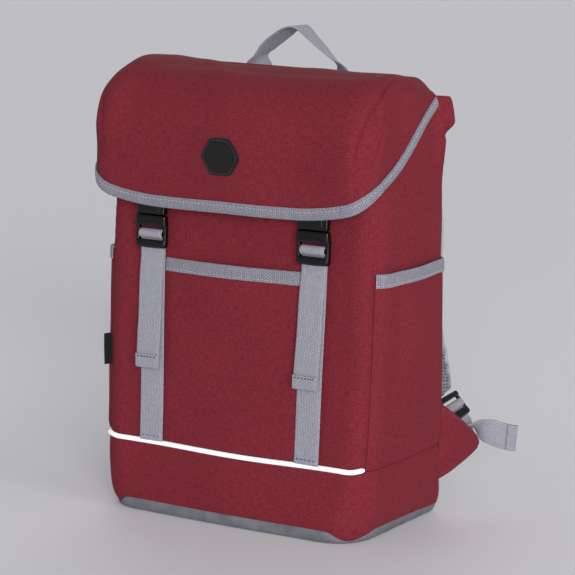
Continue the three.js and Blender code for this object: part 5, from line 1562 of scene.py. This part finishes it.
class BACKPACK_OT_carrying(bpy.types.Operator):
    """Build the carrying handle, the shoulder straps' webbing and the red tabs that hold it"""

    bl_idname = "backpack.carrying"
    bl_label = "Carrying straps"

    def execute(self, context):
        sizes = context.scene.backpack_sizes
        width, thick = sizes.webbing_width / MM, sizes.webbing_thickness / MM
        self.handle(width, thick)
        for hand, sign in HANDS:
            self.webbing(f"strap_webbing_{hand}", sign, width, thick)
            self.tab(f"strap_tab_{hand}", sign)
        return {"FINISHED"}

    def handle(self, width, thick):
        """Loop of webbing in one upright plane, whose width turns as it goes."""
        x, z, turn = np.array(HANDLE_ROWS, float).T
        path = spline(np.column_stack([x, np.full(len(x), HANDLE_Y), z, turn]), 90)
        turn = np.radians(path[:, 3:])
        band = ribbon(path[:, :3], np.concatenate([np.cos(turn), np.sin(turn), 0 * turn], 1), width, thick)
        make_piece("top_handle_webbing", [band], ["webbing"], "top_handle")

    def webbing(self, name, sign, width, thick):
        """Webbing from beside the tab's tip through the adjuster, with its twisted loose tail and folded end.
        Its first points are shifted towards the tab by a square."""
        foot, across, up, out = lock_axes(sign)
        anchor = (np.array(TAB_TIP) - [TAB_THICK, 0, 0]) * [sign, 1, 1]
        reach, lead = np.linalg.norm(foot - anchor), 16
        start = np.column_stack([np.linspace(-0.88 * reach, 5, lead), np.zeros(lead)])
        pairs = np.concatenate([start, ladder_path()])
        loop = foot + np.outer(pairs[:, 0], up) + np.outer(pairs[:, 1], out)
        loop[:lead] -= sign * across * 12 * np.linspace(1, 0, lead)[:, None] ** 2
        tail = np.array(TAIL_ROWS, float) * [sign, 1, 1, 1]
        end = np.column_stack([loop[-2:], [0, 0]])
        tail = spline(np.concatenate([end, tail]), 50)[1:]
        turn = np.radians(-sign * tail[:, 3:])
        path = np.concatenate([loop[:-1], tail[:, :3]])
        twisted = np.cos(turn) * across + np.sin(turn) * UP
        wide = np.concatenate([np.tile(across, (len(loop) - 1, 1)), twisted])
        band = ribbon(path, wide, width, thick)
        last = unit(path[-1] - path[-3])
        face = np.cross(unit(wide[-1]), last)
        fold = np.linspace(0, 9, 6)[:, None]
        hem = path[-1] - last * fold + face * (thick * 1.05 + 0.02 * fold)
        hem = ribbon(hem[::-1], np.tile(wide[-1], (6, 1)), width, thick)
        make_piece(name + "_webbing", [band, hem], ["webbing"], name)

    def tab(self, name, sign):
        """Triangular tab: straight lines from the rear seam to the adjuster's foot, bowed outwards, with a
        rounded edge and stitching along both long sides."""
        flip = np.array([sign, 1, 1])
        root = MIDDLE + sign * (SEAM_BACK - TAB_ROOT - MIDDLE)
        tip_z = TAB_TIP[2]

        def face(u, v, side):
            """Point at share u from seam to tip and v up, half the thickness to one side of the middle."""
            height = mix(TAB_BOTTOM, TAB_TOP, v)
            start = body(np.full(np.shape(height), root), height, 0.5)
            tip = np.broadcast_to(flip * TAB_TIP, start.shape).copy()
            point = np.sqrt(np.clip(1 - (np.clip(u - 0.9, 0, 1) / 0.1) ** 2, 0.02, 1))
            start[..., 2] = tip_z + (height - tip_z) * point
            tip[..., 2] = tip_z + (v - 0.5) * TAB_TIP_HEIGHT * point
            rounded = 0.35 + 0.65 * np.clip(np.minimum(v, 1 - v) * 9, 0, 1) ** 0.5
            thick = TAB_THICK * rounded * mix(0.3, 1, step(u, 0, 0.2))
            bow = 3 * np.sin(np.pi * u) + 0.5 * rumple(u * 60, v * 60, 40, 51) * np.sin(np.pi * u)
            shift = np.stack([bow + side * thick / 2, -side * thick / 4, 0 * bow], -1)
            return mix(start, tip, u[..., None]) + shift * flip

        u, v = np.meshgrid(np.linspace(0, 1, 34), np.linspace(0, 1, 40))
        outer, flat = face(u, v, 1), np.stack([u, v], -1) * [TAB_WIDE, TAB_TOP - TAB_BOTTOM]
        skin = np.concatenate([outer, face(u, v, -1)[::-1], outer[:1]])
        uv = np.concatenate([flat, flat[::-1], flat[:1]])
        tab = shape(skin.transpose(1, 0, 2), uv.transpose(1, 0, 2), caps=True)
        along = np.linspace(0.04, 0.94, 40)
        facing = np.tile(flip * [0.95, -0.3, 0], (40, 1))
        rows = [stitches(face(along, np.full(40, edge), 1.05), facing) for edge in (0.06, 0.94)]
        make_piece(name + "_cloth", [tab, *rows], ["cloth", "red_thread"], name)


class BACKPACK_OT_stage(bpy.types.Operator):
    """Set up the plain pale floor, the soft studio lights and the camera"""

    bl_idname = "backpack.stage"
    bl_label = "Stage"

    AZIMUTH, ELEVATION, DISTANCE = 32.68, 10.48, 2.1842
    TARGET = (0.01486, 0.00353, 0.20788)
    LENS, SENSOR = 150.26, 36.0
    FLOOR_HALF, FLOOR_POINTS, FLOOR_Z = 30, 25, -0.0002
    PAPER, PAPER_SHADE = "matt_studio_paper", (0.96, 0.96, 0.97, 1)
    LIGHT_AIM = (0, 0, 0.22)
    LAMPS = (
        ("key", "SUN", (1.85, -2.2, 0.62), {"energy": 3.3, "angle": np.radians(34)}),
        ("side", "AREA", (2.4, -0.3, 1.3), {"energy": 12, "size": 1.2, "shape": "DISK"}),
        ("rear", "SUN", (-1.5, 2.4, 0.85), {"energy": 1.05, "angle": np.radians(60)}),
    )
    SURROUND, SURROUND_STRENGTH = "E9E9EE", 0.4

    def execute(self, context):
        scene = context.scene
        self.floor(scene)
        self.lights(scene)
        self.camera(scene)
        return {"FINISHED"}

    def floor(self, scene):
        """Level sheet of paper: a square grid in metres, just below the bag's underside."""
        count = self.FLOOR_POINTS
        x, y = np.meshgrid(*[np.linspace(-self.FLOOR_HALF, self.FLOOR_HALF, count)] * 2)
        points = np.stack([x, y, 0 * x + self.FLOOR_Z], -1)
        mesh = bpy.data.meshes.new("floor")
        mesh.from_pydata(points.reshape(-1, 3).tolist(), [], grid_faces(count, count).tolist())
        floor = bpy.data.objects.new("floor", mesh)
        scene.collection.objects.link(floor)
        self.paper(np.array(scene.backpack_colours.floor))
        mesh.materials.append(bpy.data.materials[self.PAPER])

    def paper(self, colour):
        """Matt studio paper: pale, with a drift of tone about 0.7 m long that is hardly seen."""
        tree, shader = new_material(self.PAPER, Roughness=0.75, IOR=1.45)
        place = node(tree, "TexCoord", {}).outputs["Object"]
        tone = node(tree, "TexNoise", {"Vector": place, "Scale": 1.4, "Detail": 2.0}).outputs["Fac"]
        tones = ((0, colour * self.PAPER_SHADE), (1, colour))
        fill(tree, shader, {"Base Color": node(tree, "ValToRGB", {"Fac": tone}, tones).outputs["Color"]})

    def lights(self, scene):
        """A broad even key from behind the camera, a soft lamp on the right, a weak broad light from behind,
        and an even dim surround."""
        for name, kind, place, settings in self.LAMPS:
            lamp = bpy.data.lights.new(name, kind)
            for key, value in settings.items():
                setattr(lamp, key, value)
            thing = bpy.data.objects.new(name, lamp)
            thing.location = place
            aim = Vector(self.LIGHT_AIM) - Vector(place)
            thing.rotation_euler = aim.to_track_quat("-Z", "Y").to_euler()
            scene.collection.objects.link(thing)
        world = bpy.data.worlds.new("studio")
        world.use_nodes = True
        surround = world.node_tree.nodes["Background"]
        surround.inputs["Color"].default_value = linear(self.SURROUND)
        surround.inputs["Strength"].default_value = self.SURROUND_STRENGTH
        scene.world = world
        scene.view_settings.view_transform = "Standard"

    def camera(self, scene):
        """Camera on a circle round the target, turned by azimuth and lifted by elevation."""
        a, e = np.radians(self.AZIMUTH), np.radians(self.ELEVATION)
        look = Vector((-np.sin(a) * np.cos(e), np.cos(a) * np.cos(e), -np.sin(e)))
        data = bpy.data.cameras.new("camera")
        data.lens, data.sensor_width = self.LENS, self.SENSOR
        thing = bpy.data.objects.new("camera", data)
        thing.location = Vector(self.TARGET) - look * self.DISTANCE
        thing.rotation_euler = look.to_track_quat("-Z", "Y").to_euler()
        scene.collection.objects.link(thing)
        scene.camera = thing


OPERATORS = (
    BACKPACK_OT_stage,
    BACKPACK_OT_shell,
    BACKPACK_OT_lid,
    BACKPACK_OT_pockets,
    BACKPACK_OT_trim,
    BACKPACK_OT_closing_straps,
    BACKPACK_OT_buckles,
    BACKPACK_OT_padding,
    BACKPACK_OT_carrying,
)


class BACKPACK_PT_panel(bpy.types.Panel):
    """Sidebar list of the backpack's sizes, colours and build steps"""

    bl_idname = "BACKPACK_PT_panel"
    bl_label = "Hooded backpack"
    bl_space_type = "VIEW_3D"
    bl_region_type = "UI"
    bl_category = "Backpack"

    def draw(self, context):
        scene = context.scene
        for group in (scene.backpack_sizes, scene.backpack_colours):
            box = self.layout.box()
            for key in group.__annotations__:
                box.prop(group, key)
        for operator in OPERATORS:
            self.layout.operator(operator.bl_idname)


CLASSES = (BackpackColours, BackpackSizes, *OPERATORS, BACKPACK_PT_panel)


def register():
    """Registers the classes and hangs the two groups of properties on the scene."""
    for each in CLASSES:
        bpy.utils.register_class(each)
    bpy.types.Scene.backpack_colours = bpy.props.PointerProperty(type=BackpackColours)
    bpy.types.Scene.backpack_sizes = bpy.props.PointerProperty(type=BackpackSizes)


def unregister():
    """Takes back what register did, in reverse order."""
    del bpy.types.Scene.backpack_sizes
    del bpy.types.Scene.backpack_colours
    for each in reversed(CLASSES):
        bpy.utils.unregister_class(each)


def main():
    """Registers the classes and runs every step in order."""
    register()
    for operator in OPERATORS:
        space, name = operator.bl_idname.split(".")
        getattr(getattr(bpy.ops, space), name)()


if __name__ == "__main__":
    main()
